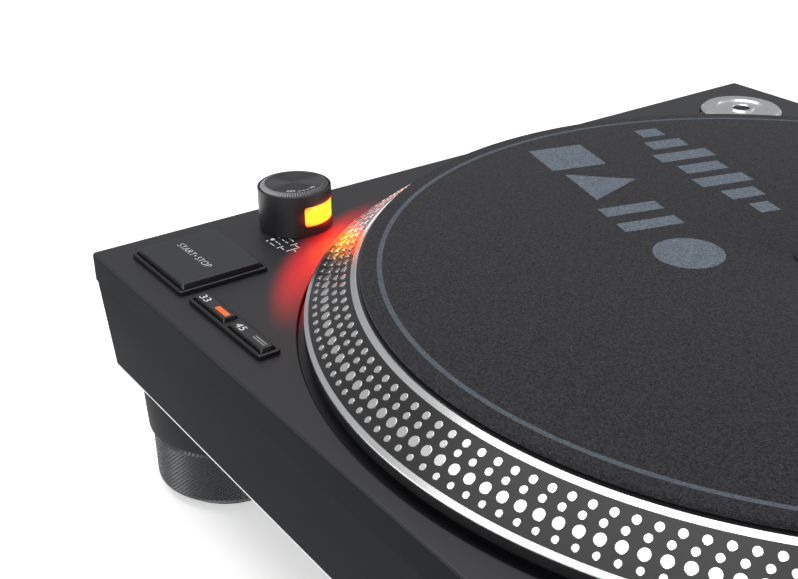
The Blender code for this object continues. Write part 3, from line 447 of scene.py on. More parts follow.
well_gap = 0.0023
well_depth = 0.0030
well_lip = 0.0008
well_radius = platter_radius + well_gap
well_lip_arc = [
    (well_radius + well_lip * (1 - math.cos(a)), deck_top - well_lip * (1 - math.sin(a)))
    for a in (math.pi / 2 * i / 4 for i in range(5))
]
well_outline = [(0, deck_top - well_depth), (well_radius, deck_top - well_depth), *well_lip_arc,
                (well_radius + well_lip, deck_top + overcut), (0, deck_top + overcut)]
platter_place = (platter_x, platter_y, 0)
cut(deck, turned("well", well_outline, platter_place, 256))
slide_gap = 0.0004
for node, radius, bottom in (
    ("spindle_bearing", 0.0123, deck_bottom - overcut),
    ("power_dial", 0.0044, deck_bottom - overcut),
    ("stylus_lamp", 0.0069, deck_bottom - overcut),
    ("lamp_button", 0.0049, deck_top - 0.0060),
    ("pitch_reset_button", 0.0049, deck_top - 0.0060),
    ("adapter_45", 0.0194, deck_top - 0.0050),
):
    cut(deck, round_hole(middle_of(node), radius, bottom, deck_top))
for node, wide, deep in (
    ("start_stop_button", 0.0108, 0.0108), ("speed_button_33", 0.0088, 0.0038),
    ("speed_button_45", 0.0088, 0.0038), ("pitch_plate", 0.0056, 0.1076),
):
    place = middle_of(node)
    cut(deck, block("hole", place.x, place.y, wide, deep, deck_bottom - overcut, deck_top + overcut))
crisp(deck, 30)
finish(deck, deck_paint, "cabinet", "deck_paint", "top_cabinet")
# The deck's side faces take a darker, less glossy copy of its paint: painted shade on the walls, not a
# different finish.
deck_side_shade = grained("deck_side_shade", (0.0090, 0.0098, 0.0112), 0.50, specular=0.022, grain=2600, depth=0.00002)
deck.data.materials.append(deck_side_shade)
for face in deck.data.polygons:
    if abs(face.normal.z) < 0.5:
        face.material_index = 1

# Platter. A turned aluminium casting: two polished rings, and between them a sloping black rim.
# The edge under the outer ring is black too.
rim_low = platter_low.z
rim_shoulder = deck_top + 0.0049
platter_top = platter_high.z
slope_inner = 0.1487
slope = math.atan2(platter_top - rim_shoulder, platter_radius - slope_inner)
bright_ring_width = 0.0016
groove = 0.00012


def on_slope(radius, proud=0.0):
    """The (radius, height) of a point on the sloping rim, or standing proud of it."""
    height = platter_top - (radius - slope_inner) * math.tan(slope)
    return radius + proud * math.sin(slope), height + proud * math.cos(slope)


hub, under, recess_outer = 0.0240, platter_top - 0.0060, 0.0595
bore = 0.0039
outer_ring_inner = platter_radius - bright_ring_width
inner_ring_outer = slope_inner + bright_ring_width
platter_outline = [
    (bore, rim_low), (hub, rim_low), (hub, under), (recess_outer, under), (recess_outer, rim_low),
    (platter_radius - 0.0006, rim_low), (platter_radius, rim_low + 0.0006),
    (platter_radius, rim_shoulder - 0.0003), on_slope(platter_radius - 0.0002, groove / 2),
    on_slope(outer_ring_inner, groove / 2), on_slope(outer_ring_inner - groove, -groove / 2),
    on_slope(inner_ring_outer + groove, -groove / 2), on_slope(inner_ring_outer, groove / 2),
    on_slope(slope_inner, groove / 2), (slope_inner - 0.0003, platter_top), (bore, platter_top),
]
platter = turned("platter_casting", platter_outline, platter_place, 288)
crisp(platter, 20)
rim_black = grained("rim_black", (0.012, 0.012, 0.013), 0.30, specular=0.5, grain=4200, depth=0.000006)


def polished(name, colour, roughness, centre, grooves, depth=0.0000008):
    """Turned metal: fine grooves that run round the piece, with a slow drift in gloss."""
    made = grained(name, colour, roughness, metallic=1.0, grain=2400, depth=0.0000002, vary=0.05)
    tree = made.node_tree
    place = add_node(tree, "TexCoord", {})["Object"]
    shift = {"Vector": place, "Location": (-centre[0], -centre[1], 0)}
    from_axis = add_node(tree, "Mapping", shift)["Vector"]
    flat = add_node(tree, "VectorMath", {0: from_axis, 1: (1, 1, 0)}, operation="MULTIPLY")["Vector"]
    span = add_node(tree, "VectorMath", {0: flat}, operation="LENGTH")["Value"]
    lines = {"W": span, "Scale": grooves, "Detail": 2}
    height = add_node(tree, "TexNoise", lines, noise_dimensions="1D")["Fac"]
    relief = add_node(tree, "Bump", {"Strength": 0.5, "Distance": depth, "Height": height})["Normal"]
    tree.links.new(relief, shader_of(made).inputs["Normal"])
    return made


ring_bright = polished("ring_bright", (0.86, 0.87, 0.88), 0.24, platter_place, 5000)
finish(platter, rim_black, "platter", "cast_aluminium", "platter")
platter.data.materials.append(ring_bright)
for face in platter.data.polygons:
    from_axis = math.hypot(face.center.x - platter_x, face.center.y - platter_y)
    on_outer = outer_ring_inner < from_axis and face.center.z > rim_shoulder - 0.0003
    on_inner = slope_inner - 0.0002 < from_axis < inner_ring_outer and face.center.z > rim_shoulder
    if on_outer or on_inner:
        face.material_index = 1

# Strobe dots. Four rows of flat polished dots, one for each speed and mains frequency, turned
# proud of the black rim. One row has larger dots.
dot_metal = grained(
    "dot_metal", (0.90, 0.90, 0.91), 0.20, metallic=1.0, grain=3000, depth=0.0000001, vary=0.04
)
dot_proud = 0.00015
for row, radius, count, width in (
    ("a", 0.1622, 186, 0.0021), ("b", 0.1589, 180, 0.0034),
    ("c", 0.1556, 174, 0.0023), ("d", 0.1528, 170, 0.0025),
):
    nothing_selected()
    out, up = on_slope(radius, dot_proud / 2 - 0.0001)
    bpy.ops.mesh.primitive_cylinder_add(
        vertices=16, radius=width / 2, depth=dot_proud + 0.0002,
        location=(platter_x + out, platter_y, up), rotation=(0, slope, 0),
    )
    dots = settle(bpy.context.object)
    dots.name = f"strobe_dots_{row}"
    edit(dots, "FACE")
    select_in_mesh("faces", lambda face: face.normal.z > 0.7)
    bpy.ops.mesh.inset(thickness=0.00008, depth=0.00004)
    bpy.ops.mesh.select_all(action="SELECT")
    bpy.ops.mesh.spin(
        steps=count - 1, dupli=True, angle=math.tau * (count - 1) / count,
        center=platter_place, axis=(0, 0, 1),
    )
    leave_edit()
    only(dots)
    bpy.ops.object.shade_flat()
    finish(dots, dot_metal, "platter", "cast_aluminium")

# Slipmat. A disc of charcoal felt with a pale printed ring near its edge, a row of plain printed
# shapes and a row of level bars. It lies loose on the platter, so it can slip under a record.
mat_low, mat_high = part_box("slipmat")
mat_radius = (mat_high.x - mat_low.x) / 2
mat_hole = 0.0040


def flat_profile(radius, bottom, top, bore=0):
    """The outline of a flat disc, or of a washer where it has a bore."""
    return [(bore, bottom), (radius, bottom), (radius, top), (bore, top)]


mat_outline = rounded_outline(flat_profile(mat_radius, mat_low.z, mat_high.z, mat_hole), 0.0007)
mat = turned("felt_slipmat", mat_outline, platter_place, 256)


def felt_finish(name, dark, pale):
    """Pressed wool felt: short fibres in two tones, a matt nap with a little sheen."""
    made = new_material(name, pale, 0.95, specular=0.06)
    shader = shader_of(made)
    shader.inputs["Sheen Weight"].default_value = 0.12
    shader.inputs["Sheen Roughness"].default_value = 0.5
    shader.inputs["Sheen Tint"].default_value = (0.75, 0.77, 0.82, 1)
    tree = made.node_tree
    place = add_node(tree, "TexCoord", {})["Object"]
    parts = {}
    for socket, scale, share in ((0, 3000, 0.60), (1, 1200, 0.40)):
        fibres = {"Vector": place, "Scale": scale, "Detail": 4, "Roughness": 0.7}
        nap = add_node(tree, "TexNoise", fibres)["Fac"]
        parts[socket] = add_node(tree, "Math", {0: nap, 1: share}, operation="MULTIPLY")[0]
    blend = add_node(tree, "Math", parts, operation="ADD")[0]
    relief = add_node(tree, "Bump", {"Strength": 0.8, "Distance": 0.00025, "Height": blend})["Normal"]
    tree.links.new(colour_ramp(tree, blend, (0.42, dark), (0.62, pale)), shader.inputs["Base Color"])
    tree.links.new(relief, shader.inputs["Normal"])
    return made


charcoal_felt = felt_finish("charcoal_felt", (0.004, 0.004, 0.005), (0.050, 0.049, 0.054))
printed_felt = felt_finish("printed_felt", (0.045, 0.058, 0.075), (0.190, 0.225, 0.270))
ring_felt = felt_finish("ring_felt", (0.050, 0.060, 0.076), (0.110, 0.130, 0.158))
finish(mat, charcoal_felt, "slipmat", "felt", "slipmat")
print_low, print_high = mat_high.z - 0.00010, mat_high.z + 0.00004
print_outline = flat_profile(0.1416, print_low, print_high, 0.1399)
print_ring = turned("mat_print_ring", print_outline, platter_place, 256)
finish(print_ring, ring_felt, "slipmat", "felt")
printed = [print_ring]
row_turn = -16


def print_shape(name, sides, radius, along, across, turn=0.0, stretch=(1, 1)):
    """One printed shape, at a place along the slanting row and across it, from the mat's middle."""
    nothing_selected()
    place = Matrix.Rotation(math.radians(row_turn), 3, "Z") @ Vector((along, across, 0))
    bpy.ops.mesh.primitive_cylinder_add(
        vertices=sides, radius=radius, depth=print_high - print_low, rotation=(0, 0, math.radians(turn)),
    )
    made = settle(bpy.context.object)
    made.name = name
    made.scale = (*stretch, 1)
    made.rotation_euler = (0, 0, math.radians(row_turn))
    made.location = (platter_x + place.x, platter_y + place.y, (print_low + print_high) / 2)
    finish(settle(made), printed_felt, "slipmat", "felt")
    return made


half_root = math.sqrt(0.5)
half_print = 0.0115
print_row, level_row = -0.034, 0.012
level_wide, level_step, first_level = 0.0085, 0.014, -0.126
printed += [
    print_shape("mat_print_square", 4, half_print / half_root, -0.112, print_row + 0.001, 45),
    print_shape("mat_print_triangle", 3, 0.0155, -0.082, print_row),
    print_shape("mat_print_bar_a", 4, half_print / half_root, -0.057, print_row, 45, (0.32, 1)),
    print_shape("mat_print_bar_b", 4, half_print / half_root, -0.043, print_row, 45, (0.32, 1)),
    print_shape("mat_print_disc", 64, 0.0120, -0.017, print_row),
]
for number, tall in enumerate((0.010, 0.016, 0.024, 0.018, 0.022, 0.014, 0.008)):
    printed.append(print_shape(
        f"mat_print_level_{number}", 4, tall / 2 / half_root, first_level + level_step * number,
        level_row, 45, (level_wide / tall, 1),
    ))

# Spindle, bearing and motor. The steel spindle stands in a flanged bearing. The magnet ring under
# the platter and the copper stator in the well drive it; they show only with the platter off.
steel = grained("turned_steel", (0.60, 0.60, 0.61), 0.28, metallic=1.0, grain=3000, depth=0.000004)
low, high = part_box("spindle")
spindle_radius = (high.x - low.x) / 2
spindle_outline = rounded_outline(
    [(0, low.z), (spindle_radius, low.z), (spindle_radius, high.z - 0.002),
     (spindle_radius * 0.45, high.z), (0, high.z)], 0.0008, closed=False,
)
finish(turned("centre_spindle", spindle_outline, platter_place, 48), steel, "platter", "steel", "spindle")


def from_cad(node_name, name, edge=0.0003, segments=2):
    """A piece with the CAD node's own shape, its sharp edges broken as on the real one."""
    nothing_selected()
    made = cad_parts[node_name].copy()
    made.data = made.data.copy()
    made.parent = None
    for key in list(made.keys()):
        del made[key]
    made.name = name
    bpy.context.scene.collection.objects.link(made)
    edit(made, "VERT")
    bpy.ops.mesh.select_all(action="SELECT")
    bpy.ops.mesh.remove_doubles(threshold=1e-6)
    bpy.ops.mesh.dissolve_limited(angle_limit=math.radians(0.5))
    leave_edit()
    if edge:
        use_modifier(
            made, "BEVEL", width=edge, segments=segments, limit_method="ANGLE",
            angle_limit=math.radians(40), use_clamp_overlap=True, harden_normals=False,
        )
    crisp(made)
    return made


def finish_cad(node_name, name, material, body, slot, edge=0.0003, segments=2):
    finish(from_cad(node_name, name, edge, segments), material, body, slot, node_name)


finish_cad("spindle_bearing", "bearing_housing", steel, "cabinet", "steel", 0.0004)
finish_cad("rotor_magnet", "magnet_ring", steel, "platter", "steel", 0.0004)
copper = grained("stator_copper", (0.62, 0.26, 0.11), 0.35, metallic=1.0, grain=1500, depth=0.00004)
finish_cad("motor_stator", "stator_winding", copper, "cabinet", "copper", 0.0010, 3)

# Feet. Each has a fixed rubber collar, a turned ring with a diamond knurl that screws up and down,
# and a rubber pad under it. All four are alike.
foot_rubber = grained("foot_rubber", (0.020, 0.021, 0.023), 0.60, specular=0.10, grain=2200, depth=0.00003)
ring_black = grained("ring_black", (0.040, 0.043, 0.048), 0.34, specular=0.6, grain=2600)
knurls_round, knurls_up, knurl_depth = 100, 12, 0.0006


def knurled_ring(name, centre, radius, low, high, edge):
    """A drum whose wall carries staggered pyramids, built up row by row."""
    nothing_selected()
    bpy.ops.mesh.primitive_circle_add(
        vertices=2 * knurls_round, radius=radius - 3 * edge, fill_type="NGON",
        location=(centre[0], centre[1], low),
    )
    made = settle(bpy.context.object)
    made.name = name
    bpy.ops.object.mode_set(mode="EDIT")
    bpy.ops.mesh.select_mode(type="EDGE")
    bpy.ops.mesh.select_all(action="SELECT")
    current = radius - 3 * edge
    rows = [(low + 0.6 * edge, radius - 1.2 * edge), (low + edge * 1.6, radius - 0.3 * edge)]
    pitch = (high - edge - rows[-1][0]) / (2 * knurls_up)
    rows += [(rows[-1][0] + pitch * (step + 1), radius) for step in range(2 * knurls_up)]
    rows += [(high, radius - edge), (high, radius - 8 * edge), (high - edge, radius - 9 * edge)]
    height = low
    for row_height, row_radius in rows:
        bpy.ops.mesh.extrude_edges_move(TRANSFORM_OT_translate={"value": (0, 0, row_height - height)})
        ratio = row_radius / current
        bpy.ops.transform.resize(value=(ratio, ratio, 1), center_override=(*centre, row_height))
        current, height = row_radius, row_height
    bpy.ops.mesh.edge_face_add()
    leave_edit()
    edit(made, "VERT")
    first = rows[1][0]

    def in_a_dip(vert):
        out = math.hypot(vert.co.x - centre[0], vert.co.y - centre[1])
        if abs(out - radius) > 1e-4:
            return False
        turns = math.atan2(vert.co.y - centre[1], vert.co.x - centre[0]) / math.tau
        return (round(turns * 2 * knurls_round) + round((vert.co.z - first) / pitch)) % 2 == 0

    select_in_mesh("verts", in_a_dip)
    dip = 1 - knurl_depth / radius
    bpy.ops.transform.resize(value=(dip, dip, 1), center_override=(*centre, 0))
    leave_edit()
    edit(made, "FACE")

    def on_the_wall(face):
        return abs(face.normal.z) < 0.5 and face.calc_center_median().z > first

    select_in_mesh("faces", on_the_wall)
    bpy.ops.mesh.quads_convert_to_tris(quad_method="SHORTEST_DIAGONAL")
    bpy.ops.mesh.select_all(action="SELECT")
    bpy.ops.mesh.normals_make_consistent(inside=False)
    leave_edit()
    return made


collar_bore, collar_taper, stud_radius, ring_top = 0.0065, 0.0007, 0.006, 0.0255
for corner in ("front_left", "front_right", "rear_left", "rear_right"):
    place = middle_of(f"foot_collar_{corner}")
    centre = (place.x, place.y)
    low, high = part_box(f"foot_collar_{corner}")
    upper = (high.x - low.x) / 2
    collar_outline = rounded_outline(
        [(collar_bore, low.z), (upper - collar_taper, low.z), (upper, high.z), (collar_bore, high.z)], 0.0008
    )
    collar = turned(f"collar_{corner}", collar_outline, (*centre, 0), 96)
    finish(collar, foot_rubber, "cabinet", "foot_rubber", f"foot_collar_{corner}")
    low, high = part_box(f"foot_ring_{corner}")
    ring = knurled_ring(f"knurled_ring_{corner}", centre, (high.x - low.x) / 2, low.z, ring_top, 0.0010)
    cut(ring, turned("stud", flat_profile(stud_radius, ring_top - 0.002, high.z), (*centre, 0), 32), "UNION")
    smooth(ring, 20)
    finish(ring, ring_black, f"foot_{corner}", "black_plastic", f"foot_ring_{corner}")
    low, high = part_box(f"foot_pad_{corner}")
    pad_radius = (high.x - low.x) / 2
    pad_outline = rounded_outline(flat_profile(pad_radius, low.z, high.z), 0.0006, closed=False)
    pad = turned(f"pad_{corner}", pad_outline, (*centre, 0), 64)
    finish(pad, foot_rubber, f"foot_{corner}", "foot_rubber", f"foot_pad_{corner}")

# Start and stop key. A wide square key with a flat satin top and steep glossy sides, painted darker than the
# top as painted shade. It stands in a thin raised frame. Its words are printed along the front edge's
# direction.
key_satin = grained("key_satin", (0.0165, 0.0175, 0.0205), 0.40, specular=0.40, grain=4200, depth=0.000012)
frame_gloss = grained("frame_gloss", (0.006, 0.006, 0.007), 0.24, specular=0.45, grain=2500, depth=0.000004)
white_ink = grained("white_ink", (0.80, 0.80, 0.80), 0.6, grain=6000)
grey_ink = grained("grey_ink", (0.36, 0.37, 0.39), 0.6, grain=6000)
key_taper = 0.0005


def key_cap(name, node_name, cap, corner, edge):
    """A key's cap, a little narrower at its top, over the stem that works its switch."""
    low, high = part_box(node_name)
    made = box_piece(name, (low.x, low.y, high.z - cap), high)
    round_uprights(made, corner, 4)
    edit(made, "FACE")
    select_in_mesh("faces", lambda face: face.normal.z > 0.9)
    shrink = [1 - 2 * key_taper / (b - a) for a, b in zip(low[:2], high[:2])]
    bpy.ops.transform.resize(value=(*shrink, 1), center_override=(*((low + high) / 2)[:2], high.z))
    leave_edit()
    round_level(made, high.z, edge, 3)
    return made, low, high


def key_frame(name, node_name, keys):
    """The raised frame round one or more keys: a low rim, open where each key moves."""
    low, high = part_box(node_name)
    made = box_piece(name, low, high)
    round_uprights(made, 0.0014, 4)
    round_level(made, high.z, 0.0004, 3)
    for key in keys:
        key_low, key_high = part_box(key)
        play = 0.0004
        cut(made, box_piece(
            "hole", (key_low.x - play, key_low.y - play, low.z - overcut),
            (key_high.x + play, key_high.y + play, high.z + overcut),
        ))
    crisp(made)
    return made


def raised_text(name, words, place, width, height, turn=0.0, thin=0.0):
    """Printed words as a thin raised print: (x, y, z) of their middle, and their full size."""
    thick, sunk = 0.00004, 0.00001
    nothing_selected()
    bpy.ops.object.text_add(location=(0, 0, 0))
    made = bpy.context.object
    made.name = name
    made.data.body = words
    made.data.align_x, made.data.align_y = "CENTER", "CENTER"
    made.data.extrude = thick / 2
    made.data.offset = -thin
    made.data.resolution_u = 4
    bpy.ops.object.convert(target="MESH")
    made = settle(bpy.context.object)
    made.name = name
    spots = [vert.co for vert in made.data.vertices]
    wide = [min(s.x for s in spots), max(s.x for s in spots)]
    tall = [min(s.y for s in spots), max(s.y for s in spots)]
    made.data.transform(Matrix.Translation((-sum(wide) / 2, -sum(tall) / 2, 0)))
    made.scale = (width / (wide[1] - wide[0]), height / (tall[1] - tall[0]), 1)
    made.rotation_euler = (0, 0, turn)
    made.location = (place[0], place[1], place[2] + thick / 2 - sunk)
    return settle(made)


start_place = middle_of("start_stop_button")
key, low, high = key_cap("start_key_cap", "start_stop_button", 0.0021, 0.0012, 0.0003)
stem = block("stem", start_place.x, start_place.y, 0.010, 0.010, low.z, high.z - 0.001)
cut(key, stem, "UNION")
crisp(key)
finish(key, key_satin, "start_stop_button", "black_plastic", "start_stop_button")


def gloss_and_shade_sides(piece, top):
    """The key's walls take the glossier frame finish below its satin face: the gloss is the moulding's own,
    their darker colour is painted shade.
    """
    piece.data.materials.append(frame_gloss)
    for face in piece.data.polygons:
        if abs(face.normal.z) < 0.35 and face.center.z < top - 0.0003:
            face.material_index = 1


gloss_and_shade_sides(key, high.z)
key_frame_piece = key_frame("start_key_frame", "start_stop_bezel", ["start_stop_button"])
finish(key_frame_piece, frame_gloss, "cabinet", "black_plastic", "start_stop_bezel")
words_x, words_y = low.x + 0.0177, start_place.y - 0.0013
words = raised_text(
    "start_key_words", "START  STOP", (words_x, words_y, high.z), 0.0238, 0.0026, thin=0.022
)
finish(words, white_ink, "start_stop_button", "black_plastic")
dot_outline = flat_profile(0.00035, high.z - 0.00002, high.z + 0.00003)
word_dot = turned("start_key_dot", dot_outline, (words_x + 0.0007, words_y, 0), 16)
finish(word_dot, white_ink, "start_stop_button", "black_plastic")

# Speed keys. Two narrow keys in one frame, each with its number at the left and a light bar at the
# right. The bar of the chosen speed, 33, is lit orange; the other is dark, with fine ribs.
bar_wide, bar_deep, bar_ribs, rib_proud = 0.0078, 0.0020, 4, 0.00014
lit_bar = new_material("lit_bar", (0.30, 0.02, 0.003), 0.5)
light_up(lit_bar, (0.95, 0.150, 0.010), 0.85)
dark_bar = grained("dark_bar", (0.050, 0.046, 0.046), 0.30, specular=0.6, grain=3000)
for speed, bar_finish, bar_slot in (("33", lit_bar, "strobe_lens"), ("45", dark_bar, "black_plastic")):
    node_name = f"speed_button_{speed}"
    key, low, high = key_cap(f"speed_key_{speed}", node_name, 0.0018, 0.0006, 0.00025)
    place = (low + high) / 2
    cut(key, block("stem", place.x, place.y, 0.008, 0.003, low.z, high.z - 0.001), "UNION")
    crisp(key)
    finish(key, key_satin, node_name, "black_plastic", node_name)
    # Painted shade: the speed key's walls take the darker frame finish.
    gloss_and_shade_sides(key, high.z)
    digits = raised_text(
        f"speed_key_digits_{speed}", speed, (low.x + 0.0045, place.y - 0.0002, high.z), 0.0048, 0.0027,
        thin=0.012,
    )
    finish(digits, white_ink, node_name, "black_plastic")
    bar_x = high.x - 0.0013 - bar_wide / 2
    bar = block(
        f"speed_key_bar_{speed}", bar_x, place.y, bar_wide, bar_deep, high.z - 0.0003, high.z + 0.00006
    )
    round_uprights(bar, 0.0003, 3)
    smooth(bar)
    finish(bar, bar_finish, node_name, bar_slot)
    if bar_finish is lit_bar:
        continue
    for rib in range(bar_ribs):
        y = place.y + bar_deep * ((rib + 0.5) / bar_ribs - 0.5)
        line = block(
            f"speed_key_rib_{rib}", bar_x, y, bar_wide - 0.0006, 0.00024, high.z, high.z + rib_proud
        )
        round_level(line, high.z + rib_proud, 0.00004, 1)
        finish(line, grey_ink if rib % 2 else dark_bar, node_name, "black_plastic")
speed_frame = key_frame("speed_key_frame", "speed_key_bezel", ["speed_button_33", "speed_button_45"])
finish(speed_frame, frame_gloss, "cabinet", "black_plastic", "speed_key_bezel")
board_green = grained("board_green", (0.015, 0.10, 0.045), 0.45, grain=900, depth=0.00005)
finish_cad("key_circuit_board", "key_board", board_green, "cabinet", "circuit_board", 0.0002)
finish_cad("main_circuit_board", "main_board", board_green, "cabinet", "circuit_board", 0.0002)
finish_cad("power_supply", "supply_can", steel, "cabinet", "steel", 0.0002)

# Power dial. A fixed black sleeve carries a turning cap: its sloping edge has fine radial ribs, every other
# face painted light grey as a painted highlight, and its spun face catches the light in a fan. The window of
# the strobe lamp is cut in the sleeve.
dial_place = middle_of("dial_housing")
low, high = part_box("dial_housing")
dial_radius = (high.x - low.x) / 2
sleeve_wall, sleeve_lip, cap_seat = 0.0018, 0.0005, deck_top + 0.0152
inner = dial_radius - sleeve_wall
sleeve_outline = [
    (inner, low.z), (dial_radius, low.z), (dial_radius, high.z - 0.0002), (dial_radius - 0.0002, high.z),
    (dial_radius - sleeve_lip + 0.0001, high.z), (dial_radius - sleeve_lip, high.z - 0.0001),
    (dial_radius - sleeve_lip, cap_seat), (inner, cap_seat),
]
sleeve_black = grained("sleeve_black", (0.016, 0.016, 0.018), 0.38, specular=0.5, grain=3500, depth=0.00001)
sleeve = turned("dial_sleeve", sleeve_outline, (dial_place.x, dial_place.y, 0), 128)
window_facing = math.atan2(platter_y - dial_place.y, platter_x - dial_place.x)
window_half = math.radians(47)
window_low, window_high = deck_top + 0.0041, deck_top + 0.0122


def round_from(centre, radius, angle, height):
    """The place at this distance and angle from a centre, at this height."""
    return Vector((centre.x + radius * math.cos(angle), centre.y + radius * math.sin(angle), height))


def curved_pane(name, inside, outside, half, bottom, top, corner):
    """A pane bent round the dial: a strip with rounded corners, extruded towards the dial's axis."""
    steps = 40
    nothing_selected()
    bpy.ops.mesh.primitive_grid_add(x_subdivisions=steps, y_subdivisions=12, size=2)
    made = bpy.context.object
    made.name = name
    length, tall = 2 * half * outside, top - bottom
    edit(made, "VERT")
    bpy.ops.mesh.select_all(action="SELECT")
    bpy.ops.mesh.extrude_region_move(TRANSFORM_OT_translate={"value": (0, 0, 1)})
    leave_edit()
    only(made)
    for vert in made.data.vertices:
        u, v = vert.co.x, vert.co.y
        across, up = u * length / 2, v * tall / 2
        edge_x, edge_y = length / 2 - corner, tall / 2 - corner
        over = Vector((max(abs(across) - edge_x, 0), max(abs(up) - edge_y, 0)))
        if over.x > 0 and over.y > 0 and over.length > 0:
            limit = corner * max(over.x, over.y) / over.length
            scale = min(1.0, limit / max(over.x, over.y)) if max(over.x, over.y) > limit else 1.0
            across = math.copysign(edge_x + over.x * scale, across)
            up = math.copysign(edge_y + over.y * scale, up)
        depth = outside if vert.co.z > 0.5 else inside
        vert.co = round_from(dial_place, depth, window_facing + across / outside, (bottom + top) / 2 + up)
    edit(made, "FACE")
    bpy.ops.mesh.select_all(action="SELECT")
    bpy.ops.mesh.normals_make_consistent(inside=False)
    leave_edit()
    return made


through = 0.002
opening = curved_pane(
    "opening", inner - through, dial_radius + through, window_half, window_low, window_high, 0.0012
)
cut(sleeve, opening)
crisp(sleeve, 30)
pane_gap = 0.0002
pane = curved_pane(
    "strobe_pane", inner - 0.0006, dial_radius - 0.0003, window_half - pane_gap / dial_radius,
    window_low + pane_gap, window_high - pane_gap, 0.0011,
)
smooth(pane, 40)


def distance_in_reaches(tree, centre, turn, reach):
    """The distance from a centre, counted in the three reaches of a turned ellipsoid."""
    place = add_node(tree, "TexCoord", {})["Object"]
    form = {"Vector": place, "Location": centre, "Rotation": (0, 0, turn), "Scale": reach}
    within = add_node(tree, "Mapping", form, vector_type="TEXTURE")["Vector"]
    return add_node(tree, "VectorMath", {0: within}, operation="LENGTH")["Value"]


window_height = (window_low + window_high) / 2
pane_middle = round_from(dial_place, dial_radius, window_facing, window_height)
glow = new_material("strobe_glow", (0.75, 0.12, 0.03), 0.25)
tree = glow.node_tree
pane_distance = distance_in_reaches(tree, pane_middle, window_facing, (0.0150, 0.0155, 0.0056))
pane_colour = colour_ramp(tree, pane_distance, (0.72, (1.0, 0.62, 0.02)), (1.0, (1.0, 0.06, 0.01)))
tree.links.new(pane_colour, shader_of(glow).inputs["Emission Color"])
shader_of(glow).inputs["Emission Strength"].default_value = 1.45
finish(pane, glow, "cabinet", "strobe_lens", "strobe_window")


def painted_glow_fade(material, distance, inner, colour):
    """Joins a distance to a painted glow in the material's emission: full colour out to inner, black from 1.
    """
    tree = material.node_tree
    fade = colour_ramp(tree, distance, (inner, colour), (1.0, (0, 0, 0)), "EASE")
    tree.links.new(fade, shader_of(material).inputs["Emission Color"])
    shader_of(material).inputs["Emission Strength"].default_value = 1.0


# Painted light from the strobe lamp, set as emission in two paints. The sleeve's wall glows red close to the
# window, and the deck's satin paint glows red along the gutter beside the platter: painted glow and painted
# reflection of the lamp.
sleeve_painted_glow_place = round_from(dial_place, dial_radius - 0.0040, window_facing, window_height)
sleeve_painted_glow_reach = (0.0170, 0.0130, 0.0064)
sleeve_painted_glow_distance = distance_in_reaches(sleeve_black.node_tree, sleeve_painted_glow_place, window_facing, sleeve_painted_glow_reach)
# Painted glow: the sleeve's black takes a red emission round the window.
painted_glow_fade(sleeve_black, sleeve_painted_glow_distance, 0.62, (0.42, 0.004, 0.004))

deck_painted_glow_radius, deck_painted_glow_width, deck_painted_glow_length = platter_radius + 0.0065, 0.0120, 0.0640
deck_painted_glow_middle = Vector((dial_place.x + 0.0280, dial_place.y - 0.0100, deck_top))
hub_middle = Vector((platter_x, platter_y, deck_top))
tree = deck_paint.node_tree


def sum_of(operation, *values):
    """A sum on the deck paint's numbers."""
    return add_node(tree, "Math", dict(enumerate(values)), operation=operation)[0]


def distance_to(place):
    seen_at = add_node(tree, "TexCoord", {})["Object"]
    return add_node(tree, "VectorMath", {0: seen_at, 1: place}, operation="DISTANCE")["Value"]


sideways = sum_of("DIVIDE", sum_of("SUBTRACT", distance_to(hub_middle), deck_painted_glow_radius), deck_painted_glow_width)
sideways_squared = sum_of("POWER", sum_of("ABSOLUTE", sideways), 2.0)
onwards = sum_of("DIVIDE", distance_to(deck_painted_glow_middle), deck_painted_glow_length)
both = sum_of("ADD", sideways_squared, sum_of("POWER", onwards, 2.0))
# Painted reflection: the deck's paint takes a red emission along the gutter, standing for the lamp's light
# reflected in it.
painted_glow_fade(deck_paint, sum_of("SQRT", both), 0.10, (0.74, 0.004, 0.006))
finish(sleeve, sleeve_black, "cabinet", "black_plastic", "dial_housing")

# The strobe lamp's own light: a small red source just in front of the window, aimed at the rim.
lamp_reach = dial_radius + 0.0012
lamp_at = round_from(dial_place, lamp_reach, window_facing, window_height)
bpy.ops.object.light_add(type="AREA", location=lamp_at)
strobe_lamp = bpy.context.object
strobe_lamp.name = "strobe_lamp"
strobe_lamp.data.shape = "RECTANGLE"
strobe_lamp.data.size, strobe_lamp.data.size_y = 0.014, 0.006
strobe_lamp.data.energy = 0.026
strobe_lamp.data.color = (1.0, 0.018, 0.001)
facing_out = Vector((math.cos(window_facing), math.sin(window_facing), -0.35))
strobe_lamp.rotation_euler = facing_out.to_track_quat("-Z", "Y").to_euler()

low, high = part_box("power_dial")
cap_rim = dial_radius - sleeve_lip - slide_gap
cap_edge, cap_face = cap_seat + 0.0003, 0.0113
ribs = 80
cap_outline = [
    (0, low.z), (0.0040, low.z), (0.0040, cap_edge), (cap_rim, cap_edge), (cap_rim, high.z - 0.0010),
    (cap_rim - 0.0003, high.z - 0.0008), (cap_face, high.z), (cap_face - 0.0002, high.z - 0.00012),
    (0, high.z - 0.00012),
]
cap = turned("dial_cap", cap_outline, (dial_place.x, dial_place.y, 0), 2 * ribs)
rib_depth, rib_drop = 0.0007, 0.0004


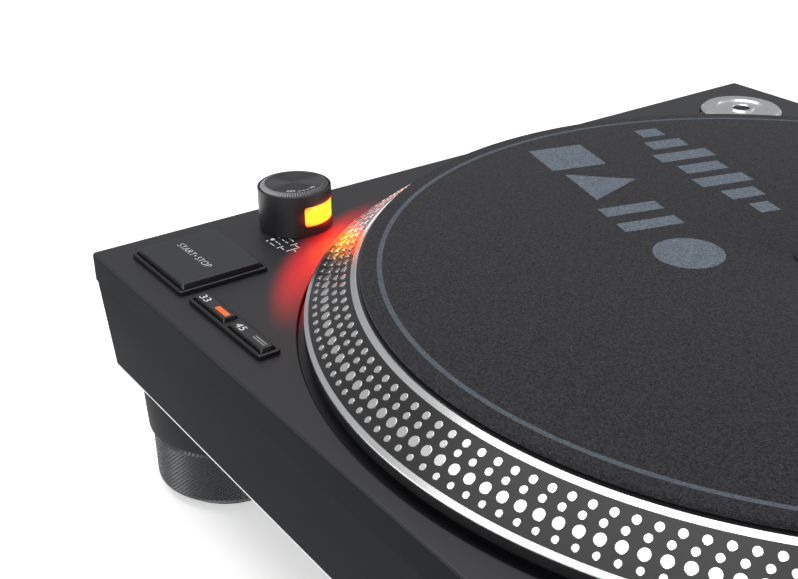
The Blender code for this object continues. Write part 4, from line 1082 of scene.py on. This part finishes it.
def serrate(piece, centre, lines, squeeze, wanted, across=(1, 0, 0), up=(0, 1, 0), every=2, drop=0.0):
    """Draws in every so-many-th line of a turned piece, so that ribs are left between.

    The lines are counted round the centre from across towards up, and wanted(place, radius) says
    which stretch of the wall has them.
    """
    edit(piece, "VERT")

    def in_a_gap(vert):
        out = vert.co - Vector(centre)
        x, y = out.dot(Vector(across)), out.dot(Vector(up))
        turns = math.atan2(y, x) / math.tau
        return wanted(vert.co, math.hypot(x, y)) and round(turns * lines) % every == 0

    select_in_mesh("verts", in_a_gap)
    bpy.ops.transform.resize(value=squeeze, center_override=centre)
    if drop:
        bpy.ops.transform.translate(value=(0, 0, -drop))
    leave_edit()


def on_the_slope(place, radius):
    return radius > cap_face + 0.0001 and place.z > high.z - 0.0011


rib_squeeze = 1 - rib_depth / cap_rim
serrate(
    cap, (dial_place.x, dial_place.y, 0), 2 * ribs, (rib_squeeze, rib_squeeze, 1), on_the_slope, drop=rib_drop
)
smooth(cap, 15)
cap_black = grained("cap_black", (0.045, 0.045, 0.048), 0.28, specular=0.9, grain=3000)
spun_face = new_material("spun_face", (0.068, 0.068, 0.073), 0.36, metallic=0.9)
spun_inputs = shader_of(spun_face).inputs
spun_inputs["Anisotropic"].default_value = 0.85
tree = spun_face.node_tree
spun_place = add_node(tree, "TexCoord", {})["Object"]
spun_shift = {"Vector": spun_place, "Location": (-dial_place.x, -dial_place.y, 0)}
from_axis = add_node(tree, "Mapping", spun_shift)["Vector"]
round_it = add_node(tree, "VectorMath", {0: (0, 0, 1), 1: from_axis}, operation="CROSS_PRODUCT")["Vector"]
to_world = add_node(
    tree, "VectorTransform", {"Vector": round_it}, vector_type="VECTOR", convert_from="OBJECT",
    convert_to="WORLD",
)["Vector"]
unit = add_node(tree, "VectorMath", {0: to_world}, operation="NORMALIZE")["Vector"]
tree.links.new(unit, spun_inputs["Tangent"])
finish(cap, cap_black, "power_dial", "black_plastic", "power_dial")
cap.data.materials.append(spun_face)
# Every other face on the ribbed slope takes a light grey: a painted highlight on the ribs.
cap.data.materials.append(grained("rib_painted_highlight", (0.300, 0.300, 0.310), 0.35, specular=0.8, grain=3000))
for face in cap.data.polygons:
    out = math.hypot(face.center.x - dial_place.x, face.center.y - dial_place.y)
    if out < cap_face and face.center.z > high.z - 0.0003:
        face.material_index = 1
    elif out > cap_face and face.center.z > high.z - 0.0014:
        turns = math.atan2(face.center.y - dial_place.y, face.center.x - dial_place.x) / math.tau
        face.material_index = 2 * (math.floor(turns * 2 * ribs) % 2)
words_radius, dash_radius = 0.0093, 0.0097
for words, at_angle in (("ON", 18), ("OFF", -38)):
    angle = math.radians(at_angle)
    mark = raised_text(
        f"dial_word_{words.lower()}", words, round_from(dial_place, words_radius, angle, high.z - 0.00012),
        0.0011 * len(words), 0.0012, angle - math.pi / 2,
    )
    finish(mark, white_ink, "power_dial", "black_plastic")


def turned_block(name, place, angle, wide, deep):
    """A thin printed mark at a place, turned about the vertical."""
    mark = block(name, 0, 0, wide, deep, 0, 0.00005)
    mark.rotation_euler = (0, 0, angle)
    mark.location = place
    return settle(mark)


for number, at_angle in enumerate((2, -8, -18)):
    angle = math.radians(at_angle)
    dash_place = round_from(dial_place, dash_radius, angle, high.z - 0.00013)
    dash = turned_block(f"dial_dash_{number}", dash_place, angle, 0.0002, 0.0012)
    finish(dash, white_ink, "power_dial", "black_plastic")

# Strobe legend. Printed white on the deck beside the dial: a column of dots like those on the rim,
# the wanted one larger, with short bars and brackets that say which speed each row is for.
legend_x, legend_y = cad_low.x + 0.0300, cad_low.y + 0.0622
legend_low, legend_high = deck_top - 0.00002, deck_top + 0.00004
legend_dots = ((-0.0040, 0.00045), (-0.0016, 0.00085), (0.0013, 0.00040), (0.0039, 0.00045))
for number, (along, radius) in enumerate(legend_dots):
    mark_outline = flat_profile(radius, legend_low, legend_high)
    mark = turned(f"legend_dot_{number}", mark_outline, (legend_x, legend_y + along, 0), 24)
    finish(mark, white_ink, "cabinet", "deck_paint")
stroke = 0.00036
for number, (x, y, wide, deep) in enumerate((
    (0.0028, -0.0040, 0.0010, 0), (0.0046, -0.0040, 0.0016, 0), (0.0030, -0.0016, 0.0014, 0),
    (0.0052, -0.0016, 0.0010, 0), (0.0030, 0.0013, 0.0012, 0), (0.0056, 0.0013, 0.0014, 0),
    (0.0030, 0.0039, 0.0012, 0), (0.0054, 0.0039, 0.0018, 0), (0.0078, -0.0028, 0, 0.0026),
    (0.0088, 0.0026, 0, 0.0028), (0.0096, -0.0028, 0.0016, 0), (0.0106, 0.0026, 0.0016, 0),
    (0.0124, 0.0000, 0, 0.0054), (0.0140, 0.0000, 0.0012, 0),
)):
    mark = block(
        f"legend_bar_{number}", legend_x + x, legend_y + y, wide + stroke, deep + stroke,
        legend_low, legend_high,
    )
    finish(mark, white_ink, "cabinet", "deck_paint")

# Pitch fader. A black plate with a fine engraved scale, numbered both ways from its middle, and a
# ribbed knob that slides along its slot. A green light marks the middle.
low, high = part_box("pitch_plate")
plate_top = high.z
plate_place = (low + high) / 2
plate = box_piece("fader_plate", low, high)
round_uprights(plate, 0.0020, 6)
round_level(plate, high.z, 0.0003, 2)
slot_half = 0.0534
cut(plate, block(
    "slot", plate_place.x, plate_place.y, 0.0048, 2 * slot_half, low.z - overcut, high.z + overcut
))
crisp(plate)
finish(plate, key_satin, "cabinet", "black_plastic", "pitch_plate")
scale_half, scale_steps, steps_a_number = 0.050, 16, 4
mark_from, mark_stroke, number_from = 0.0044, 0.00024, 0.0122
for step in range(-scale_steps, scale_steps + 1):
    long_mark = step % steps_a_number == 0
    reach = 0.0036 if long_mark else 0.0022
    y = plate_place.y + scale_half * step / scale_steps
    for side, side_name in ((-1, "left"), (1, "right")):
        mark_x = plate_place.x + side * (mark_from + reach / 2)
        mark = block(
            f"fader_mark_{step + scale_steps}_{side_name}", mark_x, y, reach, mark_stroke,
            plate_top - 0.00002, plate_top + 0.00004,
        )
        finish(mark, white_ink, "cabinet", "black_plastic")
    if long_mark:
        digits = raised_text(
            f"fader_number_{step + scale_steps}", str(abs(step) // 2),
            (plate_place.x + number_from, y, plate_top), 0.0016, 0.0024,
        )
        finish(digits, white_ink, "cabinet", "black_plastic")
light_outline = [
    (0, plate_top - 0.0002), (0.0011, plate_top - 0.0002), (0.0011, plate_top + 0.0003),
    (0.0007, plate_top + 0.0006), (0, plate_top + 0.0006),
]
light_place = (plate_place.x - number_from, plate_place.y, 0)
centre_light = turned("fader_centre_light", light_outline, light_place, 24)
light_green = new_material("light_green", (0.04, 0.5, 0.10), 0.25)
light_up(light_green, (0.10, 1.0, 0.25), 0.6)
finish(centre_light, light_green, "cabinet", "black_plastic")

low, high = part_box("pitch_fader_knob")
knob_place = (low + high) / 2
knob_low = plate_top + 0.0003
knob = box_piece("fader_knob", (low.x, low.y, knob_low), high)
edit(knob, "FACE")
select_in_mesh("faces", lambda face: face.normal.z > 0.9)
bpy.ops.transform.resize(value=(0.90, 0.62, 1), center_override=(knob_place.x, knob_place.y, high.z))
leave_edit()
use_modifier(knob, "BEVEL", width=0.0008, segments=3, limit_method="ANGLE", angle_limit=math.radians(30))
grooves, groove_step, groove_wide, groove_depth = 7, 0.00095, 0.00036, 0.00035
for number in range(grooves):
    y = knob_place.y + (number - grooves // 2) * groove_step
    groove_long = high.x - low.x + 2 * overcut
    groove_low = high.z - groove_depth
    cut(knob, block("groove", knob_place.x, y, groove_long, groove_wide, groove_low, high.z + overcut))
cut(knob, block("stem", knob_place.x, knob_place.y, 0.0040, 0.0060, low.z, knob_low + 0.001), "UNION")
crisp(knob, 30)
finish(knob, key_satin, "pitch_fader_knob", "black_plastic", "pitch_fader_knob")
line = block(
    "fader_knob_line", knob_place.x, knob_place.y, high.x - low.x - 0.0028, 0.00032,
    high.z - 0.0004, high.z + 0.00004,
)
finish(line, white_ink, "pitch_fader_knob", "black_plastic")
finish_cad("pitch_fader_track", "fader_track", steel, "cabinet", "steel", 0.0005)


def button(name, node_name, material, slot):
    """A round button: domed edge and a shallow dished face."""
    dish = 0.0004
    low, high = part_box(node_name)
    radius = (high.x - low.x) / 2
    place = (low + high) / 2
    dish_points = [
        (radius * 0.72 * share, high.z - dish * (1 - share * share)) for share in (1.0, 0.66, 0.33)
    ]
    outline = [(0, low.z), (radius, low.z), (radius, high.z - 0.0006), (radius - 0.0002, high.z - 0.0002),
               (radius - 0.0006, high.z), *dish_points, (0, high.z - dish)]
    made = turned(name, outline, (place.x, place.y, 0), 64)
    return finish(made, material, node_name, slot, node_name)


# Small controls and the lamp. The pitch reset button stands behind the fader. The stylus lamp is a
# bright cylinder under a flanged cap; the button beside it lets it spring up.
button("reset_button", "pitch_reset_button", key_satin, "black_plastic")
lamp_place = middle_of("stylus_lamp")
alloy = polished("lamp_alloy", (0.74, 0.75, 0.77), 0.30, lamp_place, 6000, 0.000002)
low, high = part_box("stylus_lamp")
flange = (high.x - low.x) / 2
barrel = 0.0065
seat = deck_top + 0.0003
lamp_outline = [
    (0, low.z), (barrel, low.z), (barrel, seat - 0.0046), (barrel - 0.0004, seat - 0.0044),
    (barrel - 0.0004, seat - 0.0036), (barrel, seat - 0.0034), (barrel, seat), (flange, seat),
    (flange, high.z - 0.0005), (flange - 0.0005, high.z), (flange - 0.0026, high.z),
    (flange - 0.0030, high.z - 0.0003), (0, high.z - 0.0003),
]
lamp = turned("lamp_barrel", lamp_outline, (lamp_place.x, lamp_place.y, 0), 96)
finish(lamp, alloy, "stylus_lamp", "cast_aluminium", "stylus_lamp")
lens_glass = new_material("lamp_lens_glass", (0.85, 0.87, 0.90), 0.12, specular=0.6)
facing = math.atan2(platter_y - lamp_place.y, platter_x - lamp_place.x)
lens = turned(
    "lamp_lens", [(0, 0), (0.0026, 0), (0.0026, 0.0002), (0.0018, 0.0006), (0, 0.0008)],
    round_from(lamp_place, barrel - 0.0004, facing, seat - 0.0085), 32,
    axis=(math.cos(facing), math.sin(facing), 0),
)
finish(lens, lens_glass, "stylus_lamp", "cast_aluminium")
button("lamp_release", "lamp_button", alloy, "cast_aluminium")

# Single adapter. A turned disc for records with a large hole. It rests in its round seat at the
# back left corner, and has a grip groove and a stepped face.
low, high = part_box("adapter_45")
radius = (high.x - low.x) / 2
adapter_place = (low + high) / 2
adapter_outline = [
    (0.0040, low.z), (radius, low.z), (radius, high.z - 0.0040), (radius - 0.0005, high.z - 0.0036),
    (radius - 0.0005, high.z - 0.0030), (radius, high.z - 0.0026), (radius, high.z - 0.0014),
    (radius - 0.0010, high.z - 0.0003), (radius - 0.0020, high.z), (0.0120, high.z),
    (0.0114, high.z - 0.0006), (0.0062, high.z - 0.0006), (0.0056, high.z), (0.0045, high.z),
    (0.0040, high.z - 0.0005),
]
adapter_alloy = polished("adapter_alloy", (0.78, 0.79, 0.80), 0.26, adapter_place, 5000, 0.000002)
adapter = turned("single_adapter", adapter_outline, (adapter_place.x, adapter_place.y, 0), 128)
crisp(adapter, 25)
finish(adapter, adapter_alloy, "adapter_45", "cast_aluminium", "adapter_45")

# Tonearm base. A stepped alloy base screwed to the deck, a knurled ring round it that sets the arm's
# height, and the column that rises with it. The ring has a numbered scale on its upper face.
pivot = middle_of("tonearm_base")
pivot_place = (pivot.x, pivot.y, 0)
arm_alloy = polished("arm_alloy", (0.62, 0.63, 0.65), 0.30, pivot_place, 5000, 0.000002)
low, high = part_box("tonearm_base")
base_radius = (high.x - low.x) / 2
base_step, base_stem, column_bore = deck_top + 0.0060, 0.0300, 0.0154
base_outline = [
    (column_bore, low.z), (base_radius, low.z), (base_radius, base_step - 0.0012),
    (base_radius - 0.0004, base_step - 0.0004), (base_radius - 0.0012, base_step),
    (base_stem, base_step), (base_stem, high.z - 0.0004), (base_stem - 0.0004, high.z),
    (column_bore, high.z),
]
arm_base = turned("arm_base", base_outline, pivot_place, 160)
crisp(arm_base, 25)
finish(arm_base, arm_alloy, "cabinet", "cast_aluminium", "tonearm_base")
screw_outline = [
    (0, -0.0006), (0.0009, -0.0006), (0.0009, -0.0001), (0.0007, 0.0001), (0, 0.0001),
]
screws = 3
for number in range(screws):
    place = round_from(pivot, 0.0369, math.radians(50 + 360 / screws * number), base_step)
    screw = turned(f"base_screw_{number}", screw_outline, place, 20)
    finish(screw, steel, "cabinet", "steel")

low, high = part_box("height_ring")
ring_radius = (high.x - low.x) / 2
ring_bore, ring_lines, ring_rib = 0.0304, 240, 0.0005
height_outline = [
    (ring_bore, low.z), (ring_radius - 0.0004, low.z), (ring_radius, low.z + 0.0004),
    (ring_radius, high.z - 0.0010), (ring_radius - 0.0010, high.z), (ring_bore, high.z),
]
height_ring = turned("height_collar", height_outline, pivot_place, ring_lines)
ring_squeeze = 1 - ring_rib / ring_radius
serrate(
    height_ring, pivot_place, ring_lines, (ring_squeeze, ring_squeeze, 1),
    lambda place, radius: radius > ring_radius - 0.0001,
)
smooth(height_ring, 20)
finish(height_ring, ring_black, "height_ring", "black_plastic", "height_ring")
for step in range(31):
    angle = math.radians(-60 + step * 10)
    long_mark = step % 5 == 0
    reach = 0.0022 if long_mark else 0.0013
    mark_place = round_from(pivot, ring_radius - 0.0012 - reach / 2, angle, high.z - 0.00001)
    mark = turned_block(f"height_mark_{step}", mark_place, angle, reach, 0.00024)
    finish(mark, white_ink, "height_ring", "black_plastic")
    if long_mark:
        digit_place = round_from(pivot, ring_bore + 0.0011, angle, high.z)
        digits = raised_text(
            f"height_number_{step // 5}", str(step // 5), digit_place, 0.0008, 0.0013, angle - math.pi / 2
        )
        finish(digits, white_ink, "height_ring", "black_plastic")

finish_cad("arm_column", "arm_riser", arm_alloy, "arm_column", "cast_aluminium", 0.0005, 3)

# Arm controls. The lift bar raises the tube when the cue lever is up; the anti-skate dial beside
# them has a ribbed grip and a white pointer. All three stand on the riser.
finish_cad("lift_bar", "cue_bar", foot_rubber, "lift_bar", "black_plastic", 0.0005, 3)
finish_cad("cue_lever", "cue_arm", key_satin, "cue_lever", "black_plastic", 0.0006, 3)
low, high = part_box("anti_skate_dial")
skate_place = (low + high) / 2
skate_radius = (high.x - low.x) / 2
skate_lines = 72
skate_outline = [
    (0, low.z), (skate_radius, low.z), (skate_radius, low.z + 0.0014),
    (skate_radius - 0.0008, low.z + 0.0020), (skate_radius - 0.0010, high.z - 0.0006),
    (skate_radius - 0.0016, high.z), (0, high.z),
]
skate = turned("skate_knob", skate_outline, (skate_place.x, skate_place.y, 0), skate_lines)
serrate(
    skate, (skate_place.x, skate_place.y, 0), skate_lines, (0.93, 0.93, 1),
    lambda place, radius: place.z > low.z + 0.0019 and radius > 0.0042, every=3,
)
smooth(skate, 25)
finish(skate, key_satin, "anti_skate_dial", "black_plastic", "anti_skate_dial")
pointer = block(
    "skate_pointer", skate_place.x, skate_place.y - 0.0024, 0.00036, 0.0024,
    high.z - 0.00004, high.z + 0.00004,
)
finish(pointer, white_ink, "anti_skate_dial", "black_plastic")

# Tonearm. A gimbal frame turns on the riser and carries the pivot block on a cross axle. The S-shaped
# tube runs forward from it; the rear shaft carries the force ring and the counterweight.
arm_axis = Vector((pivot.x, pivot.y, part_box("arm_tube")[0].z + 0.0050))
frame_alloy = grained("frame_alloy", (0.50, 0.51, 0.53), 0.32, metallic=1.0, grain=3500, depth=0.000004)
finish_cad("gimbal_frame", "gimbal_yoke", frame_alloy, "gimbal_frame", "arm_aluminium", 0.0009, 3)
finish_cad("arm_pivot_block", "pivot_block", frame_alloy, "tonearm", "arm_aluminium", 0.0008, 3)
bearing_outline = [
    (0, -0.0003), (0.0026, -0.0003), (0.0026, 0.0002), (0.0022, 0.0004), (0.0008, 0.0004),
    (0.0006, 0.0001), (0, 0.0001),
]
gimbal_half = 0.0190
for side, side_name in ((-1, "left"), (1, "right")):
    bearing_place = (pivot.x + side * gimbal_half, pivot.y, arm_axis.z)
    bearing = turned(f"pivot_screw_{side_name}", bearing_outline, bearing_place, 32, axis=(side, 0, 0))
    finish(bearing, steel, "gimbal_frame", "arm_aluminium")

bend_radius, shell_reach = 0.0700, 0.0450
bend_angle, offset_angle = math.radians(20), math.radians(22)
tube_radius, reach_to_point, block_half = 0.0050, 0.2300, 0.0090


def arc_points(centre, start, end, steps):
    angles = [start + (end - start) * step / steps for step in range(steps + 1)]
    return [
        (centre[0] + bend_radius * math.cos(angle), centre[1] + bend_radius * math.sin(angle))
        for angle in angles
    ]


first_out = bend_radius * (1 - math.cos(bend_angle))
second_out = bend_radius * (math.cos(offset_angle) - math.cos(bend_angle))
straight = (shell_reach * math.sin(offset_angle) - first_out - second_out) / math.sin(bend_angle)
tube_end = reach_to_point - shell_reach * math.cos(offset_angle)
bends = bend_radius * (2 * math.sin(bend_angle) + math.sin(offset_angle))
bend_start = tube_end - bends - straight * math.cos(bend_angle)
quarter = math.pi / 2
first_bend = arc_points((bend_start, bend_radius), -quarter, bend_angle - quarter, 14)
turn_x = first_bend[-1][0] + straight * math.cos(bend_angle) + bend_radius * math.sin(bend_angle)
turn_y = first_bend[-1][1] + straight * math.sin(bend_angle) - bend_radius * math.cos(bend_angle)
second_bend = arc_points((turn_x, turn_y), quarter + bend_angle, quarter - offset_angle, 26)
route = [(block_half + 0.0003, 0)] + first_bend + second_bend
nothing_selected()
bpy.ops.curve.primitive_nurbs_path_add(location=(0, 0, 0))
arm_line = bpy.context.object
arm_line.data.splines.clear()
spline = arm_line.data.splines.new("POLY")
spline.points.add(len(route) - 1)
for point, (along, outward) in zip(spline.points, route):
    point.co = (pivot.x + outward, pivot.y - along, arm_axis.z, 1)
arm_line.data.dimensions = "3D"
arm_line.data.bevel_depth = tube_radius
arm_line.data.bevel_resolution = 10
arm_line.data.use_fill_caps = True
bpy.ops.object.convert(target="MESH")
arm = settle(bpy.context.object)
arm.name = "arm_s_tube"
edit(arm, "VERT")
bpy.ops.mesh.select_all(action="SELECT")
bpy.ops.mesh.remove_doubles(threshold=1e-6)
bpy.ops.mesh.normals_make_consistent(inside=False)
leave_edit()
smooth(arm, 35)
tube_alloy = grained("tube_alloy", (0.80, 0.81, 0.83), 0.20, metallic=1.0, grain=2600, depth=0.000002)
finish(arm, tube_alloy, "tonearm", "arm_aluminium", "arm_tube")

rear = (0, 1, 0)
weight_low, weight_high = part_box("counterweight")
weight_radius = (weight_high.x - weight_low.x) / 2
weight_from, weight_to, shaft = weight_low.y - pivot.y, weight_high.y - pivot.y, 0.0044
weight_lines = 160
weight_outline = [
    (shaft, weight_from), (weight_radius - 0.0030, weight_from),
    (weight_radius - 0.0012, weight_from + 0.0004), (weight_radius, weight_from + 0.0016),
    (weight_radius, weight_from + 0.0120),
    (weight_radius - 0.0006, weight_from + 0.0124), (weight_radius - 0.0006, weight_from + 0.0134),
    (weight_radius, weight_from + 0.0138), (weight_radius, weight_to - 0.0014),
    (weight_radius - 0.0010, weight_to - 0.0003), (weight_radius - 0.0020, weight_to), (0.0062, weight_to),
    (0.0058, weight_to - 0.0006), (shaft, weight_to - 0.0006),
]
weight = turned("counterweight_body", weight_outline, arm_axis, weight_lines, axis=rear)
serrate(
    weight, arm_axis, weight_lines, (0.975, 1, 0.975),
    lambda place, radius: weight_from + 0.0136 < place.y - pivot.y < weight_to - 0.0010, up=(0, 0, 1),
)
smooth(weight, 20)
weight_steel = grained("weight_steel", (0.42, 0.43, 0.45), 0.30, metallic=1.0, grain=2600, depth=0.000004)
finish(weight, weight_steel, "counterweight", "steel", "counterweight")
low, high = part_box("tracking_force_ring")
force_radius = (high.x - low.x) / 2
force_from, force_to = low.y - pivot.y, high.y - pivot.y
force_outline = rounded_outline(flat_profile(force_radius, force_from, force_to, shaft), 0.0006)
force_ring = turned("force_ring", force_outline, arm_axis, 120, axis=rear)
finish(force_ring, key_satin, "tracking_force_ring", "black_plastic", "tracking_force_ring")
force_marks = 20
for step in range(force_marks):
    angle = math.tau * step / force_marks
    long_mark = step % 5 == 0
    reach = 0.0030 if long_mark else 0.0018
    mark = box_piece(f"force_mark_{step}", (-0.00014, 0, -0.00003), (0.00014, reach, 0.00005))
    mark.data.transform(Matrix.Translation((0, force_from + 0.0007, force_radius)))
    mark.data.transform(Matrix.Rotation(angle, 4, "Y"))
    mark.data.transform(Matrix.Translation(arm_axis))
    finish(mark, white_ink, "tracking_force_ring", "black_plastic")

# Headshell. A ribbed locking collar clamps the shell's neck to the tube. The shell is a light alloy
# plate with slots, a short finger lift, and the cartridge and its stylus underneath.
end_along, end_out = route[-1]
shell_at = Vector((pivot.x + end_out, pivot.y - end_along, arm_axis.z))
heading = -quarter - offset_angle
ahead = Vector((math.cos(heading), math.sin(heading), 0))
collar_length, collar_radius = 0.0140, 0.0075
collar_outline = [
    (0, 0.0003), (collar_radius - 0.0008, 0.0003), (collar_radius, 0.0011),
    (collar_radius, collar_length - 0.0008), (collar_radius - 0.0008, collar_length), (0, collar_length),
]
collar_lines = 96
collar = turned("shell_collar", collar_outline, shell_at, collar_lines, axis=ahead)
serrate(
    collar, shell_at + ahead * collar_length / 2, collar_lines, (0.94, 0.94, 0.94),
    lambda place, radius: radius > collar_radius - 0.0002, across=(-ahead.y, ahead.x, 0), up=(0, 0, 1),
)
smooth(collar, 20)
finish(collar, frame_alloy, "headshell_collar", "arm_aluminium", "headshell_collar")
shell = from_cad("headshell", "shell_plate", 0.0005, 3)
along_shell = Matrix.Translation(shell_at) @ Matrix.Rotation(heading, 4, "Z")
for side in (-1, 1):
    for at in (0.034, 0.050):
        slot_cutter = block("slot", at, side * 0.0050, 0.010, 0.0022, -0.006, 0.006)
        round_uprights(slot_cutter, 0.0010, 4)
        slot_cutter.data.transform(along_shell)
        cut(shell, slot_cutter)
crisp(shell, 30)
shell_silver = grained("shell_silver", (0.60, 0.61, 0.63), 0.30, metallic=1.0, grain=3600, depth=0.000004)
finish(shell, shell_silver, "tonearm", "arm_aluminium", "headshell")
finish_cad("cartridge", "cartridge_body", frame_gloss, "tonearm", "black_plastic", 0.0006, 3)
finish_cad("stylus", "stylus_tip", steel, "tonearm", "steel", 0)

# Arm rest. A post with a padded shelf under the parked tube, and a clip that swings over the tube.
finish_cad("arm_rest", "rest_post", key_satin, "cabinet", "black_plastic", 0.0005, 3)
finish_cad("arm_clip", "rest_clip", key_satin, "arm_clip", "black_plastic", 0.0004, 3)

# Rear connections. A mains inlet with two pins, two phono sockets with coloured rings on a plated
# panel, and a knurled terminal for the ground wire.
finish_cad("mains_inlet", "inlet_shell", key_satin, "cabinet", "black_plastic")
finish_cad("phono_sockets", "socket_panel", steel, "cabinet", "steel", 0.0002)
panel_low, panel_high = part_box("phono_sockets")
panel_middle = (panel_low + panel_high) / 2
for name, offset, colour in (("left", -0.020, (0.60, 0.60, 0.58)), ("right", -0.002, (0.50, 0.02, 0.02))):
    insert_place = (panel_middle.x + offset, panel_low.y + 0.0021, panel_middle.z)
    insert = turned(
        f"socket_ring_{name}", flat_profile(0.0056, 0, 0.0010, 0.0044), insert_place, 48, axis=rear
    )
    ring_plastic = grained(f"socket_plastic_{name}", colour, 0.4, grain=3000)
    finish(insert, ring_plastic, "cabinet", "steel")
low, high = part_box("ground_terminal")
nut_place = (low + high) / 2
nut_radius = (high.x - low.x) / 2
nut_long, nut_lines = high.y - low.y, 60
nut_outline = [
    (0, 0), (nut_radius, 0), (nut_radius, 0.0050), (nut_radius - 0.0006, nut_long - 0.0010),
    (nut_radius - 0.0016, nut_long), (0, nut_long),
]
nut = turned("ground_nut", nut_outline, (nut_place.x, low.y, nut_place.z), nut_lines, axis=rear)
serrate(
    nut, nut_place, nut_lines, (0.93, 1, 0.93),
    lambda place, radius: radius > nut_radius - 0.0002, up=(0, 0, 1),
)
smooth(nut, 20)
finish(nut, steel, "ground_terminal", "cast_aluminium", "ground_terminal")
